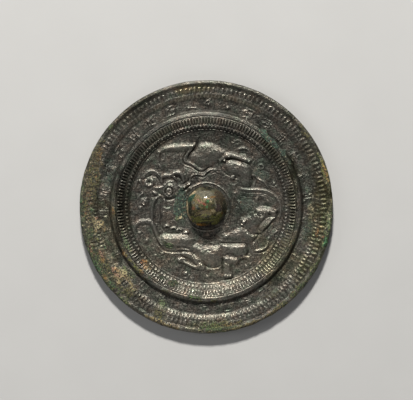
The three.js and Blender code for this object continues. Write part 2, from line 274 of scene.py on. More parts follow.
line([(10.8, 29.8), (14.4, 30), (18.6, 28.8), (22.6, 26.8)], 0.4, 0.4)
for k in range(5):
    line([(11.6 + 0.6 * k, 24.2 - 1.2 * k), (15 + 0.4 * k, 24 - 1.25 * k),
          (20 - 0.2 * k, 22.2 - 1.3 * k)], 0.36, 0.34)
bead(12.6, 27.6, 0.9, 2.6)
bead(10.2, 25.6, 0.9, 2.3)
for k in range(5):
    line([(20.4 + 0.9 * k, 16.4), (20.6 + 0.9 * k, 13.6), (20.4 + 0.9 * k, 10.8)],
         0.34, 0.34 if k % 2 else -0.3)
line([(25.2, 16.4), (25.8, 14.4), (25, 11.6)], 0.6, -0.6)
line([(26.2, 17.8), (27.4, 15.4), (27, 13), (26, 11.2)], 0.42, 0.5)
line([(25.6, 27.4), (26, 24), (25.8, 21), (26, 18.6)], 0.4, 0.4)
print("dragon's trunk stands", round(float(forms.max()), 2), "mm above the field")

# %% [markdown]
# The neck comes down in a double curve from the shoulder. The head is small, with a round eye
# like a button, a forked muzzle and a horn that rolls over it. They are limbs and rings laid
# over one low plate, so that they run into each other as they do in a cast.

# %% Dragon: neck, head, horn and crest
neck = [(-9.4, 14.4), (-8.6, 16.3), (-6.8, 17.8), (-4.2, 17.9), (-2.2, 17.4), (-0.6, 18.2), (0.8, 19.8),
        (3, 20.7), (5.4, 20.4)]
line(neck, 0.55, 0.75)
line(lane(neck[1:7], -1.0), 0.45, -0.35)
line([(-8.8, 16), (-10.4, 14), (-12.6, 12.7)], 0.7, [-0.3, -0.8, -0.4])
plate([(-12.4, 22), (-7, 20.6), (-2.4, 18.6), (-4.4, 18), (-7, 17.8), (-9, 15.6), (-11.4, 15),
       (-12.6, 18)], 0.7, 1.4, 0.1)
for k, r in enumerate((3.0, 1.7)):
    loop(4.6, 16.6, r, 0.42, 0.45, -10, 170 - 20 * k)
limb([(-34.5, 16.6), (-32.2, 18.8), (-28.8, 19.2), (-26, 17.2), (-24.7, 14.2)],
     [0.9, 1.3, 1.3, 1.2, 0.9], [0.9, 1.3, 1.4, 1.2, 0.9])
line([(-33.8, 16.8), (-31.8, 18.5), (-28.9, 18.9), (-26.4, 17.1), (-25, 14.4)], 0.45, -0.8)
line([(-34.2, 14.4), (-33, 16.2), (-30.4, 17.3), (-27.8, 16.6), (-26, 14.6), (-25.2, 12.6),
      (-24, 11.8)], 0.6, -0.45)
limb([(-25, 16.2), (-22.6, 17.2), (-20, 17.2), (-17.4, 18.7), (-14.8, 18.6), (-13.2, 16.8),
      (-12.4, 14.4)], [1.0, 1.4, 1.2, 1.4, 1.5, 1.2, 0.8], [1.1, 1.6, 1.3, 1.6, 1.8, 1.4, 1])
line([(-18.6, 20), (-15.6, 20.2), (-12.8, 18.8), (-11, 16), (-10.4, 13.6)], 0.4, 0.4)
limb([(-18.6, 17), (-17.4, 15.9), (-16.4, 15)], [0.8, 0.9, 0.6], [1.3, 1.5, 1])
line([(-16.8, 16.6), (-14.8, 15.9), (-13.6, 14.2)], 0.5, -0.5)
plate([(-28.4, 10.2), (-25, 10.8), (-21, 13.6), (-17.6, 13.4), (-15.6, 11), (-14.8, 8.2), (-16.6, 6),
       (-19.6, 4.8), (-22.6, 5.2), (-25, 7.4), (-27.6, 8.6)], 1.0, 1.8, 0.2)
limb([(-28, 10.3), (-25, 10.7), (-22.8, 12.4), (-20.6, 13.9), (-18.4, 13.9)],
     [0.6, 0.8, 0.7, 0.6, 0.4], [1.3, 1.5, 1.5, 1.3, 1.0])
limb([(-25, 9.4), (-23.4, 11), (-21.2, 12.1), (-19.2, 11.8), (-17.7, 10.3)],
     [0.4, 0.55, 0.6, 0.55, 0.4], [1.2, 1.5, 1.5, 1.4, 1.2])
bead(-20.5, 8.5, 3.1, 1.5)
loop(-20.5, 8.5, 2.9, 0.45, 0.5)
loop(-20.5, 8.5, 2.2, 0.45, -0.6)
loop(-20.5, 8.5, 1.5, 0.4, 0.35)
bead(-21, 9.0, 0.7, 2.3)
bead(-20, 8.1, 0.6, 2.2)
limb([(-22.2, 7.1), (-20.6, 6.5), (-19, 7)], [0.4, 0.6, 0.4], [1.9, 2.2, 1.9])
line([(-24.6, 6.4), (-22.6, 4.4), (-19.6, 4.2), (-17, 5), (-15, 7)], 0.8, [-0.5, -0.8, -0.8, -0.7, -0.4])
limb([(-15.2, 11.4), (-13.4, 10.7), (-11.4, 11.3), (-9, 12.9)], [0.6, 0.8, 0.8, 0.5], [1.4, 1.6, 1.6, 1.2])
limb([(-14.4, 9.6), (-12.8, 9.4)], 0.5, 1.1)
limb([(-9.4, 10.6), (-11.5, 8.2), (-13.7, 5.7)], [0.6, 0.75, 0.6], [1.2, 1.3, 1])
line([(-9.1, 11.8), (-10.8, 10), (-12.8, 8.6)], 0.55, -0.6)
bead(-31.7, 13.3, 2.8, 0.6)
loop(-31.7, 13.3, 2.4, 0.5, 0.35, 150, 400)
loop(-31.7, 13.9, 0.1, 1.3, -1.0)
limb([(-33, 12.3), (-31.9, 11.6), (-30.8, 12)], 0.6, 1.6)
limb([(-29.2, 7.9), (-28.2, 7.4), (-27.2, 7)], [0.9, 1.1, 0.7], [1.3, 1.5, 1])
line([(-29.8, 5.4), (-28.4, 5.7), (-26.8, 5.8)], 0.6, -0.5)
limb([(-39, 11.4), (-38.4, 13.6), (-38.1, 14.4)], 0.55, [0.7, 1.1, 0.8])
limb([(-36.7, 14.5), (-36, 13.2), (-35.1, 11.3)], 0.55, [1, 1, 0.6])
print("dragon's head done, relief up to", round(float((forms + lines).max()), 2), "mm")

# %% [markdown]
# The forepaw hangs at the left as long toes, and the tail follows the edge of the field on the
# right, striped along its length. Small curls and bosses fill the ground between the beasts.

# %% Dragon: paw, tail, wing and curls
limb([(-29.9, -8.6), (-30, -2), (-29.2, 1.8), (-27.6, 4.9), (-25.2, 6), (-23.4, 4.6), (-22.8, 2.2)],
     [0.8, 1, 1, 1, 0.9, 0.8, 0.6], [0.7, 0.9, 0.9, 1, 1, 0.9, 0.6])
line([(-28.2, 2.4), (-27.9, -3), (-28, -8.6)], 0.5, -0.3)
line([(-26.2, 3.4), (-26, -2), (-26.1, -8)], 0.5, 0.5)
line([(-24.8, 2.4), (-24.8, -3), (-25, -7)], 0.4, -0.25)
limb([(-23.2, -0.6), (-21.6, -1.5), (-20.2, -0.7)], [0.5, 0.8, 0.5], 0.6)
bead(-33.9, 2.8, 2.1, 1.2)
loop(-33.9, 2.8, 1.2, 0.45, -0.5, 60, 330)
bead(-33.3, 4.4, 0.8, 1.5)
bead(-34.6, 1.4, 0.8, 1.5)
bead(-36.4, -0.6, 1.0, 0.9)
line([(-37.8, 4.4), (-36.8, 6.2), (-35.2, 7.5)], 0.5, 0.5)
tail = [(19.4, 9.7), (23.6, 9.3), (28, 9.3), (32.4, 8.8), (36, 7.2), (39, 4.8), (40.8, 1.6), (41.2, -2.6),
        (40.6, -6)]
limb(tail, [0.9, 1.1, 1.1, 1.1, 1.1, 1.1, 1, 0.9, 0.6], [1.2, 1.5, 1.5, 1.3, 1.2, 1.1, 1, 0.8, 0.6])
plate([(20, 9), (32, 8.4), (36, 6.6), (39, 3.6), (40.2, 0), (38, -0.6), (33, 1), (31.6, 4.4),
       (28.6, 5.4), (22, 5.6)], 0.6, 0.8, 0.1)
for k in range(1, 5):
    line(lane(tail[:6], -1.05 * k), 0.36, 0.42)
for k in range(3):
    line([(30.2 + k, 6.4), (31.4 + k, 4.6), (31.6 + k, 1.6)], 0.34, 0.4)
feather = [(26, 17.4), (28.8, 15.2), (31.8, 13.6), (34.2, 10.6)]
limb(feather, [0.6, 0.8, 0.7, 0.5], [1.0, 1.1, 1.1, 0.9])
line(lane(feather, -1.2), 0.36, 0.5)
line(lane(feather[1:], 1.1), 0.34, 0.4)
limb([(17.6, 31.8), (20, 32.4), (22.2, 32), (23.8, 30.6), (24.6, 29)], [0.5, 0.8, 0.8, 0.6, 0.4],
     [0.9, 1.2, 1.3, 1.1, 0.7])
line([(18, 29.5), (20.4, 29.7), (22.4, 28.9), (23.2, 27.2)], 0.6, -0.5)
line([(14.6, 35), (16.4, 36.6), (18.6, 36.3), (19.6, 34.4)], 0.45, 0.4)
line([(15.2, 33.6), (16.8, 34.6), (18.2, 33.6)], 0.4, 0.3)
bead(14.7, 16.3, 1.3, 1.4)
loop(14.9, 14.4, 2.5, 0.45, 0.4, 60, 330)
loop(30.2, 22, 1.4, 0.5, 0.7)
line([(30, 21.6), (30.8, 22.2)], 0.6, -0.3)
bead(37.4, 12.9, 0.9, 0.9)
loop(37.6, 12, 1.3, 0.35, 0.3, -160, -10)
bead(17.9, 2.9, 0.8, 0.8)
bead(27.8, 4.0, 1.2, 0.8)
bead(34.2, 3.0, 0.9, 0.9)
bead(16, 7.4, 0.7, 0.5)
print("dragon done, cells raised:", int((forms > 0.3).sum()))

# %% [markdown]
# The tiger runs to the right over the lower half and looks back up over its shoulder with its
# jaws open. Haunch and trunk are one long swelling form. The hind leg folds back under it,
# the forelegs stand as two square steps, and the tail arches up at the left.

# %% Tiger: trunk, haunch and legs
plate([(-25.9, -17.8), (-24.6, -15.3), (-20, -14.8), (-15, -14.7), (-10.6, -14.9), (-8, -17),
       (-6.4, -20), (-6.6, -23.4), (-8.6, -25), (-12, -24), (-17, -24), (-21, -23.5), (-24, -21.6)],
      2.2, 2.8, 0.4, 0.6)
plate([(-10, -18), (-6, -20), (-2, -21.2), (3, -21.4), (7.6, -21.2), (8.9, -23), (9.4, -26),
       (9, -29.6), (7.2, -33), (4, -33.5), (1, -32.8), (-2, -31.2), (-5, -28), (-8, -25), (-11, -22)],
      1.5, 4.2, 0.5, 0.35)
line([(-24.6, -15.4), (-18, -15.2), (-11, -14.9)], 0.5, 0.3)
hip = [(-16.4, -21.2), (-13, -21.2), (-10, -21.8), (-7, -24), (-5, -27.4)]
line(hip, 0.5, 0.35)
line(lane(hip, -1.2), 0.5, -0.3)
line(lane(hip, -2.3), 0.45, 0.45)
loop(1.4, -26.6, 2.4, 0.45, -0.3, 20, 300)
loop(1.4, -26.6, 1.1, 0.4, 0.25)
line([(-4, -30.2), (-1, -32.2), (2.4, -33.7), (6, -33.6), (7.6, -32.6)], 0.55, -0.6)
seat = [(-31, -10.4), (-29.6, -13.6), (-27.9, -17.6), (-26.2, -21), (-24, -23.6), (-20.6, -24.9),
        (-15, -25), (-11, -24.8), (-8, -26), (-5.2, -28.6)]
line(seat, 0.45, [-0.2, -0.4, -0.4, -0.4, -0.3, -0.3, -0.3, -0.3, -0.3, -0.2])
line(lane(seat[3:9], -0.9), 0.42, 0.4)
line(lane(seat[3:9], 1.1), 0.42, 0.4)
limb([(-39.7, -13.6), (-39.1, -10.6), (-37, -8.8), (-33, -8.3), (-30.4, -9.2), (-28.6, -12.2),
      (-27, -16.4), (-24.8, -20.8)], [0.8, 1.3, 1.6, 1.6, 1.5, 1.3, 1.2, 1],
     [0.7, 1.1, 1.3, 1.3, 1.3, 1.0, 0.9, 0.9])
line([(-28.6, -12.6), (-27.2, -16.4), (-25.4, -20)], 0.35, 0.3)
for x, y, r in ((-21.9, -10.9, 1.5), (-18.4, -12, 1.4), (-15, -12.8, 1.4), (-11.5, -14.6, 1.4)):
    limb([(x - 1.2, y - 0.2), (x, y + 0.5), (x + 1.3, y + 0.1)], 0.75, 1.5)
    line([(x - 1.3, y - 1.3), (x + 1.3, y - 1.1)], 0.36, 0.4)
line([(-25.4, -9.6), (-23.4, -12.8), (-21, -14.4), (-15, -14.6)], 0.5, -0.45)
limb([(-12.6, -26), (-8.4, -27.4), (-4.8, -30.4), (-2, -33.8)], [1.6, 2.1, 2.2, 1.6], [1.1, 1.4, 1.5, 1.4])
for k in (-1, 0, 1):
    line(lane([(-12, -26), (-8.2, -27.4), (-4.8, -30.2), (-2.6, -32.8)], 0.95 * k), 0.34, 0.3)
for k, r in enumerate((2.6, 1.6)):
    loop(-3.2, -34, r, 0.42, 0.5, -60, 70)
bead(-4.2, -33, 1.2, 1.9)
limb([(-3.4, -34.3), (-7.6, -32.9), (-11.2, -31.2), (-14.2, -29.6)], [1.0, 1.0, 0.9, 1.2],
     [1.3, 1.2, 1.2, 1.7])
bead(-14.7, -29.5, 1.4, 1.9)
limb([(-14, -28.6), (-12.2, -28.7), (-11.2, -29.5)], [0.6, 0.6, 0.4], [1.5, 1.3, 0.9])
print("tiger's trunk done")

# %% [markdown]
# The head turns back and up, with a round eye, folded ear and long open jaws. The jaws are two
# curved limbs with a groove between them, which reads better at this size than teeth would.

# %% Tiger: neck, forelegs and head
plate([(6.8, -18.9), (9, -16.3), (13, -13.8), (17.5, -11.5), (19, -10.4), (22, -12), (25, -14),
       (28, -14.9), (29.6, -15.3), (28, -17.4), (26, -19.7), (23.6, -20.6), (21, -19.6), (14, -19.4)],
      1.3, 2.8, 0.4, 0.75)
plate([(7.6, -21.6), (9.6, -20.2), (14, -20.8), (20.6, -20.9), (22.2, -22.4), (22.6, -25),
       (21.6, -27.4), (18.6, -28), (14.4, -27.4), (9.6, -27)], 1.9, 1.5, 0.3, 0.7)
line([(8, -18.9), (14, -19.3), (20.8, -19.3)], 0.4, 0.4)
line([(8, -19.9), (14, -20.1), (21, -20.1), (23.1, -22.2), (23.4, -25), (22.4, -27.2)], 0.5, -0.6)
line([(21, -21.4), (22.2, -23), (22.2, -25.4)], 0.36, 0.4)
line([(20.8, -23.4), (21.2, -25.4)], 0.5, -0.6)
line([(11, -26.4), (13.2, -26.1), (15.2, -26.4)], 0.6, -0.7)
limb([(17.6, -29.2), (19.4, -28.2), (21.6, -28.2)], [0.8, 1.2, 0.9], [1.1, 1.3, 1.2])
for k in range(3):
    limb([(22.2 + 0.3 * k, -27.4 - 0.7 * k), (23.8 + 0.3 * k, -27.9 - 0.8 * k)], 0.35, 0.9)
plate([(9.4, -27.7), (14.6, -27.6), (18, -28.8), (18.2, -31), (16.4, -32.4), (12, -32.5), (10, -31)],
      1.8, 1.3, 0.2, 0.8)
line([(9.6, -27.9), (12, -28.1), (14.8, -28)], 0.5, 0.35)
plate([(9.6, -30.4), (13.6, -31.6), (13.8, -35), (14.6, -37.4), (14.2, -39.2), (11.6, -39.8),
       (9.2, -39.2), (9.4, -35)], 1.1, 1.2, 0.2, 0.3)
line([(9, -28.4), (8.8, -32), (9, -37)], 0.5, -0.6)
for k in range(3):
    bead(10.4 + 1.5 * k, -38.3 - 0.1 * (k % 2), 0.95, 1.8)
line([(8.4, -40.6), (11.4, -40.1), (14.8, -39.2)], 0.5, -0.5)
plate([(18, -8.6), (18.9, -6.9), (20.8, -5.9), (22.6, -4.7), (25, -3.3), (26.4, -2.9), (27.2, -1.2),
       (29, -0.1), (31, 0.4), (34, 0.2), (36.6, -0.5), (38.5, -1.6), (39.4, -3.6), (39.1, -5.3),
       (37.4, -6), (35.2, -5.6), (33.4, -6.7), (31.4, -8.4), (29.4, -10.1), (28.8, -11.9),
       (30.4, -13.3), (31.4, -14.3), (27.6, -14.3), (25, -13.5), (23.4, -11.9), (21, -11.3),
       (19, -10.5)], 1.9, 1.8, 0.3, 0.6)
plate([(39, -5.4), (36.6, -5.4), (33.2, -6), (29, -11), (30.2, -13.4), (34, -10.4), (37.4, -7.4)],
      1.35, 0.8, 0.1, 0.1)
limb([(36.2, -6.9), (34.6, -9), (32.6, -11), (30.8, -12.8)], [0.8, 1.1, 1.1, 0.8], [1.6, 1.7, 1.7, 1.5])
for x, y in ((33.9, -8.3), (32.6, -9.5), (31.5, -10.7)):
    bead(x, y, 0.5, 1.7)
line([(35.6, -6.2), (33, -8), (30.4, -10.4)], 0.45, -0.25)
line([(35.9, -8.9), (33.8, -11.8), (31.2, -14.6)], 0.5, -0.3)
loop(29.8, -3.4, 1.3, 0.42, 0.5, 0, 330)
loop(29.8, -3.4, 2.5, 0.45, 0.5, 130, 360)
loop(29.8, -3.4, 3.6, 0.42, 0.45, 170, 320)
loop(29.8, -3.4, 1.9, 0.36, -0.5, 110, 360)
bead(29.8, -3.3, 0.8, 2.7)
line([(26.6, -3.6), (27.2, -3.2)], 0.7, -0.9)
line([(28.2, -1.1), (31, -0.8), (34, -1), (36.2, -1.9)], 0.45, -0.5)
bead(34.2, -2.7, 1.1, 2.9)
line([(36.8, -2.0), (37.4, -1.8)], 0.6, -0.9)
bead(38.5, -2.3, 0.8, 2.5)
line([(34.4, -4.2), (36.4, -4.3), (38, -3.9)], 0.45, -0.5)
line([(33.2, -3.8), (34.8, -3.9), (35.8, -5)], 0.4, -0.4)
bead(20.7, -8.4, 2.3, 2.5)
loop(20.7, -8.4, 1.3, 0.5, -0.9, 100, 330)
bead(21.7, -7.6, 0.7, 2.9)
line([(19.2, -7.9), (19.2, -9.2)], 0.6, -0.7)
bead(25.1, -4, 1.0, 2.4)
line([(19, -10.3), (21, -11.1), (23.2, -12), (24.2, -13.3), (26.2, -14), (29, -14.1), (31, -13.9)],
     0.42, 0.45)
line([(23.2, -13.4), (25, -15), (27.4, -15.3), (30.2, -15.2)], 0.55, -0.6)
line([(22.8, -14.9), (24.4, -16.1), (26.4, -16.4)], 0.5, 0.55)
line([(28.9, -15.6), (27.6, -17.6), (25.9, -19.5)], 0.45, -0.6)
line([(26.2, -20), (26.2, -21.4), (26.8, -22.6)], 0.55, 0.7)
line([(8.4, -17.7), (11, -17.6), (13.6, -17.9)], 0.4, -0.3)
bead(10.8, -16.6, 1.6, 1.9)
limb([(27.4, -24.3), (29.6, -24.1), (31.8, -23.4), (33.6, -21.8), (34, -19.8)],
     [0.6, 0.75, 0.8, 0.7, 0.5], [1, 1.1, 1, 0.9, 0.6])
line([(28, -25.2), (31, -25), (33.6, -23.8), (35, -21.6)], 0.4, -0.4)
limb([(37.2, -16.2), (37.2, -14.8), (39.2, -13.7)], [0.6, 0.7, 0.5], [0.8, 1, 0.8])
line([(36.7, -12.8), (37.6, -11.4)], 0.4, -0.5)
bead(-11.5, -36.9, 1.2, 1.0)
loop(-12, -37.2, 2.4, 0.42, 0.4, 100, 350)
bead(-24.1, -25.8, 0.8, 1.1)
loop(-24.1, -26.6, 1.5, 0.36, 0.3, 160, 380)
for x, y, r in ((0.5, -38.7, 0.8), (31.7, -26.1, 0.8), (22.2, -33, 1), (24.4, -31.5, 0.7),
                (-37, -14.4, 0.8), (-33, -18.6, 1), (-28, -27, 0.7), (34.6, -17.4, 0.7)):
    bead(x, y, r, 0.6)
print("tiger done, relief up to", round(float((forms + lines).max()), 2), "mm")

# %% [markdown]
# A casting is never as sharp as its drawing, and the field between the beasts is slightly rough.
# The board is blurred over a fraction of a millimetre, lowered to the depth of the casting, then
# mottled.

# %% Soften the relief
def soften(a, times):
    for _ in range(times):
        a = (a + np.roll(a, 1, 0) + np.roll(a, -1, 0)) / 3
        a = (a + np.roll(a, 1, 1) + np.roll(a, -1, 1)) / 3
    return a


CAST_DEPTH = 0.72
LINE_STRENGTH = 1.35
hide = ease((forms - 0.7) / 0.8) * 0.7 * (clouds(BOARD_X, BOARD_Y, 2.2, 13, 4) - 0.5)
relief = CAST_DEPTH * soften(np.clip(forms + LINE_STRENGTH * lines + hide, -0.9, 3.2), 2)
relief += 0.34 * (clouds(BOARD_X, BOARD_Y, 2.4, 11) - 0.5) + 0.2 * (clouds(BOARD_X, BOARD_Y, 7, 17) - 0.5)


def sample(a, row, col):
    i = np.clip(np.floor(row).astype(int), 0, a.shape[0] - 2)
    j = np.clip(np.floor(col).astype(int), 0, a.shape[1] - 2)
    fi, fj = np.clip(row - i, 0, 1), np.clip(col - j, 0, 1)
    return ((a[i, j] * (1 - fj) + a[i, j + 1] * fj) * (1 - fi)
            + (a[i + 1, j] * (1 - fj) + a[i + 1, j + 1] * fj) * fi)


print("relief from", round(float(relief.min()), 2), "to", round(float(relief.max()), 2), "mm")

# %% [markdown]
# Between the toothed rings and the ridge runs a band of cast marks. They are kept as rows of
# shallow strokes that stand for writing without being letters: short bars along and across
# the band, drawn on a strip that is unrolled from it.

# %% Strokes of the inscription band
STRIP_CELL = 0.16
STRIP_R = (SCRIPT_INNER_R + FINE_INNER_R) / 2
STRIP_LONG = int(2 * math.pi * STRIP_R / STRIP_CELL)
STRIP_WIDE = int((FINE_INNER_R - SCRIPT_INNER_R) / STRIP_CELL) + 1
strip = np.zeros((STRIP_WIDE, STRIP_LONG))
STROKE_WIDE, STROKE_HIGH = 0.42, 0.46
MARKS = [2.0] + [24 + 12.13 * k for k in range(28)]
pen = np.random.default_rng(5)


def stroke(clock, u0, v0, u1, v1, width, rise):
    """A straight stroke at that clock angle: u runs clockwise along the band and v outwards."""
    middle = clock / 360 * STRIP_LONG
    cols = np.arange(int(middle - 24), int(middle + 24))
    u = (cols - middle)[None, :] * STRIP_CELL
    v = (np.arange(STRIP_WIDE)[:, None] - (STRIP_WIDE - 1) / 2) * STRIP_CELL
    du, dv = u1 - u0, v1 - v0
    k = np.clip(((u - u0) * du + (v - v0) * dv) / (du * du + dv * dv), 0, 1)
    away = np.hypot(u - u0 - k * du, v - v0 - k * dv)
    where = cols % STRIP_LONG
    strip[:, where] = np.maximum(strip[:, where], rise * ease((width - away) / width * 1.6))


for clock in MARKS:
    top = 1 if clock < 100 or clock > 280 else 0.75
    for v in (-2.4, -1.2, 0, 1.2, 2.4):
        if pen.random() < 0.8:
            a, b = sorted(pen.uniform(-2.4, 2.4, 2))
            lean = pen.uniform(-0.5, 0.5)
            stroke(clock, a - 0.6, v - lean, b + 0.6, v + lean, STROKE_WIDE, STROKE_HIGH * top)
    for u in (-2.2, -0.8, 0.8, 2.2):
        if pen.random() < 0.7:
            a, b = sorted(pen.uniform(-2.6, 2.6, 2))
            stroke(clock, u, a - 0.5, u + pen.uniform(-0.6, 0.6), b + 0.5, STROKE_WIDE, STROKE_HIGH * top)
stroke(12.1, -0.05, -0.6, 0.05, -0.5, 1.2, 0.9)
print(len(MARKS), "marks in the band")

# %% [markdown]
# Corrosion lies where the mirror was buried in contact with the soil: thickly along the left of
# the rim, less on the right and at the bottom, and in patches on the ridge and beside the knob.
# Each patch has a place, a size and a colour from a short palette of bronze minerals.
# The same patches later raise the surface, blunt the teeth and colour it, so that the crust is
# where its colour is. A few of them are painted light or shade rather than crust, as marked where they
# stand.

# %% Crust patches, with a few painted highlights and shades
PALETTE = {
    "malachite": (0.019, 0.033, 0.011),
    "pale green": (0.06, 0.085, 0.042),
    "teal": (0.02, 0.042, 0.03),
    "green": (0.02, 0.12, 0.045),
    "olive": (0.036, 0.033, 0.011),
    "moss": (0.085, 0.094, 0.026),
    "leaf": (0.045, 0.085, 0.025),
    "bright moss": (0.17, 0.175, 0.045),
    "blue green": (0.006, 0.05, 0.036),
    "amber": (0.4, 0.19, 0.03),
    "bright rust": (0.19, 0.042, 0.028),
    "brown": (0.046, 0.034, 0.015),
    "tan": (0.12, 0.095, 0.05),
    "ochre": (0.14, 0.072, 0.02),
    "rust": (0.12, 0.035, 0.02),
    "cream": (0.26, 0.22, 0.14),
    "verdigris": (0.022, 0.062, 0.026),
    "bone": (0.1, 0.097, 0.078),
    "ivory highlight": (0.45, 0.36, 0.24),
    "pink": (0.21, 0.11, 0.085),
    "plum": (0.028, 0.017, 0.022),
    "umber": (0.028, 0.02, 0.014),
    "black": (0.006, 0.01, 0.008),
}

# name, clock angle, radius, half length along the ring, half width across it, amount
ARCS = [
    ("olive", 262, 66, 42, 5.5, 0.9), ("brown", 290, 66, 16, 4, 0.9),
    ("umber", 294, 68, 12, 2.5, 0.7), ("brown", 240, 64, 14, 4, 0.6), ("brown", 262, 64, 9, 3, 0.5),
    ("malachite", 268, 68.5, 36, 2.6, 1.0), ("olive", 120, 51.8, 40, 1.2, 0.45),
    ("olive", 215, 51.8, 40, 1.3, 0.5), ("olive", 270, 51.6, 6, 1.2, 0.7),
    ("cream", 222, 62, 8, 2, 0.4), ("malachite", 238, 67, 26, 4, 0.8),
    ("pale green", 262, 67.5, 6, 2, 0.7), ("ochre", 296, 65.5, 4, 2.4, 0.5),
    ("ochre", 243, 64.4, 1.5, 1.2, 1.0), ("ochre", 229, 64, 3, 2, 0.7),
    ("cream", 262, 61.5, 7, 1.4, 0.45), ("cream", 252, 60, 5, 1.4, 0.35),
    ("olive", 285, 66.5, 14, 3, 0.8), ("olive", 225, 63, 24, 5, 0.7),
    ("malachite", 176, 68.3, 13, 2.2, 0.9), ("leaf", 178, 66, 9, 2.6, 0.8),
    ("ochre", 170, 66.2, 4.5, 0.7, 0.7), ("leaf", 187, 51, 4, 1.2, 0.6),
    ("olive", 184, 52.4, 10, 1, 0.6), ("pale green", 205, 59, 5, 2, 0.6),
    ("bone", 203, 61, 4, 1.2, 0.6), ("tan", 95, 57.5, 4, 3, 0.5),
    ("pale green", 277, 69, 7, 0.7, 0.8), ("teal", 264, 69, 6, 1.2, 0.7),
    ("pink", 262, 66, 3, 0.8, 0.7), ("pink", 255, 60.5, 2.4, 0.8, 0.8),
    ("pale green", 250, 69, 6, 0.6, 0.5), ("pink", 246, 63.5, 2.6, 0.9, 0.6),
    ("tan", 258, 58, 6, 1.2, 0.6), ("pale green", 250, 58, 5, 1.4, 0.6),
    ("bone", 240, 60, 7, 2, 0.5), ("pink", 235, 61.5, 3, 1, 0.7),
    ("olive", 213, 68.6, 18, 1.2, 0.7), ("leaf", 221, 69, 9, 0.9, 0.6),
    ("tan", 208, 68.4, 9, 0.8, 0.6), ("moss", 287, 67.4, 2.8, 1.4, 0.6),
    ("verdigris", 280, 68.9, 3.4, 1.0, 0.9), ("verdigris", 273, 69.2, 3.4, 1.2, 0.8),
    ("pink", 276, 65.7, 1.6, 1, 0.7), ("rust", 272, 64.2, 1.3, 1.1, 0.8),
    ("verdigris", 268.5, 63.4, 3.2, 1.3, 0.9), ("rust", 267, 66.8, 1.1, 0.8, 0.8),
    ("pale green", 262, 67.4, 2.6, 2, 0.7), ("pink", 264.5, 60.6, 1.0, 1.0, 0.8),
    ("cream", 260.5, 60.4, 1.4, 0.9, 0.9), ("moss", 252, 62.6, 3.2, 1.1, 0.8),
    ("verdigris", 248.5, 60.2, 2.4, 1.3, 0.8), ("ochre", 234.8, 60.7, 1.2, 0.9, 0.9),
    ("ochre", 235.4, 68, 2, 0.9, 0.8), ("ochre", 240, 52.3, 2.2, 0.7, 0.9),
    ("rust", 250, 67.9, 3, 0.7, 0.6), ("verdigris", 241, 68.6, 4, 1, 0.8),
    ("verdigris", 257, 65, 3, 1.2, 0.6), ("moss", 282, 64.6, 3, 1.4, 0.5),
    ("verdigris", 230, 66.6, 4, 1.2, 0.7), ("moss", 64.7, 67.9, 3.2, 1.5, 0.8),
    ("cream", 236, 58.6, 8, 1.6, 0.4), ("pale green", 231, 56.4, 7, 1.8, 0.5),
    ("tan", 226, 59.4, 7, 1.6, 0.6), ("cream", 228, 63.6, 4, 1, 0.5),
    ("umber", 232, 65.6, 6, 1, 0.6), ("umber", 244, 62.4, 5, 0.8, 0.6),
    ("rust", 79, 69.5, 4, 0.6, 0.8), ("ochre", 88.5, 69.2, 2.4, 0.8, 0.9),
    ("verdigris", 94, 68.6, 3, 1.2, 0.9), ("rust", 104.6, 66.8, 0.9, 0.9, 0.8),
    ("ochre", 112.5, 68.8, 4, 0.7, 0.8), ("moss", 119, 67.7, 3.2, 1.5, 0.8),
    ("verdigris", 122.5, 69, 4, 1, 0.8), ("verdigris", 171, 68.8, 8, 1.5, 1.0),
    ("olive", 186, 64.8, 5, 2.2, 0.6), ("teal", 81, 56.3, 2.4, 1.6, 0.7),
    ("teal", 95.5, 55.2, 3, 1.6, 0.7), ("verdigris", 216, 49.8, 5, 1.4, 0.7),
    ("rust", 224, 50.6, 2, 0.8, 0.6), ("moss", 232, 50.8, 6, 1.2, 0.6),
    # The two tan bands round the bottom of the bevel are partly crust colour and partly painted light on a
    # slope that faces away from the lamp.
    ("tan", 158, 69, 34, 0.9, 0.8), ("tan", 196, 69, 24, 0.8, 0.8),
    ("umber", 286, 68.6, 12, 1.6, 0.8), ("brown", 272, 66, 16, 2.6, 0.7),
    ("umber", 256, 68.8, 12, 1.2, 0.6), ("olive", 174, 66, 12, 2.6, 0.7),
    ("olive", 98, 68.8, 56, 2.0, 0.9), ("malachite", 92, 69.2, 18, 1.4, 1.0),
    ("olive", 80, 68.6, 26, 1.8, 0.8), ("malachite", 118, 68.8, 22, 1.8, 0.8),
    ("moss", 72, 68.4, 9, 1.3, 0.7), ("ochre", 73, 68.6, 5, 0.6, 0.8),
    ("pale green", 97, 68.6, 6, 1.4, 0.9), ("green", 106.5, 68.4, 2.4, 1.0, 0.9),
    ("cream", 91, 58, 3.4, 2.6, 0.4), ("ochre", 102.5, 62.9, 2.6, 0.9, 0.7),
    ("teal", 48, 51.5, 9, 1.8, 0.9), ("pale green", 244, 48.2, 7, 1.8, 0.9),
    ("ochre", 271, 51.4, 4, 0.7, 0.8), ("malachite", 212, 46.5, 9, 3, 0.7),
    ("ochre", 226, 46.5, 7, 2.4, 0.5), ("rust", 229, 47.5, 5, 1.6, 0.4),
    ("cream", 222, 46.8, 4, 1.4, 0.5), ("teal", 285, 57, 8, 3, 0.4), ("teal", 100, 57, 9, 3, 0.4),
    ("olive", 150, 60, 26, 5, 0.35), ("olive", 110, 47, 20, 3, 0.4),
]
# name, x, y, half sizes, turn in degrees, amount
SPOTS = [
    ("teal", -14, 0.5, 4.2, 7.5, 0, 0.75), ("pale green", -16.2, -6.6, 1.1, 1.5, 0, 1.0),
    ("cream", -14.3, -5.8, 0.9, 0.9, 0, 0.9), ("malachite", -22.6, -20.4, 2.2, 1.3, -10, 0.4),
    ("pale green", -20.2, -21.4, 2.2, 1.3, -10, 0.6), ("umber", 19.4, -28.2, 2.6, 1.7, 20, 0.9),
    ("teal", 31, 18.5, 5, 3.2, -30, 0.35), ("teal", 22, 2, 6, 4, 0, 0.35),
    ("teal", 36, -13, 3, 5, 20, 0.3),
]
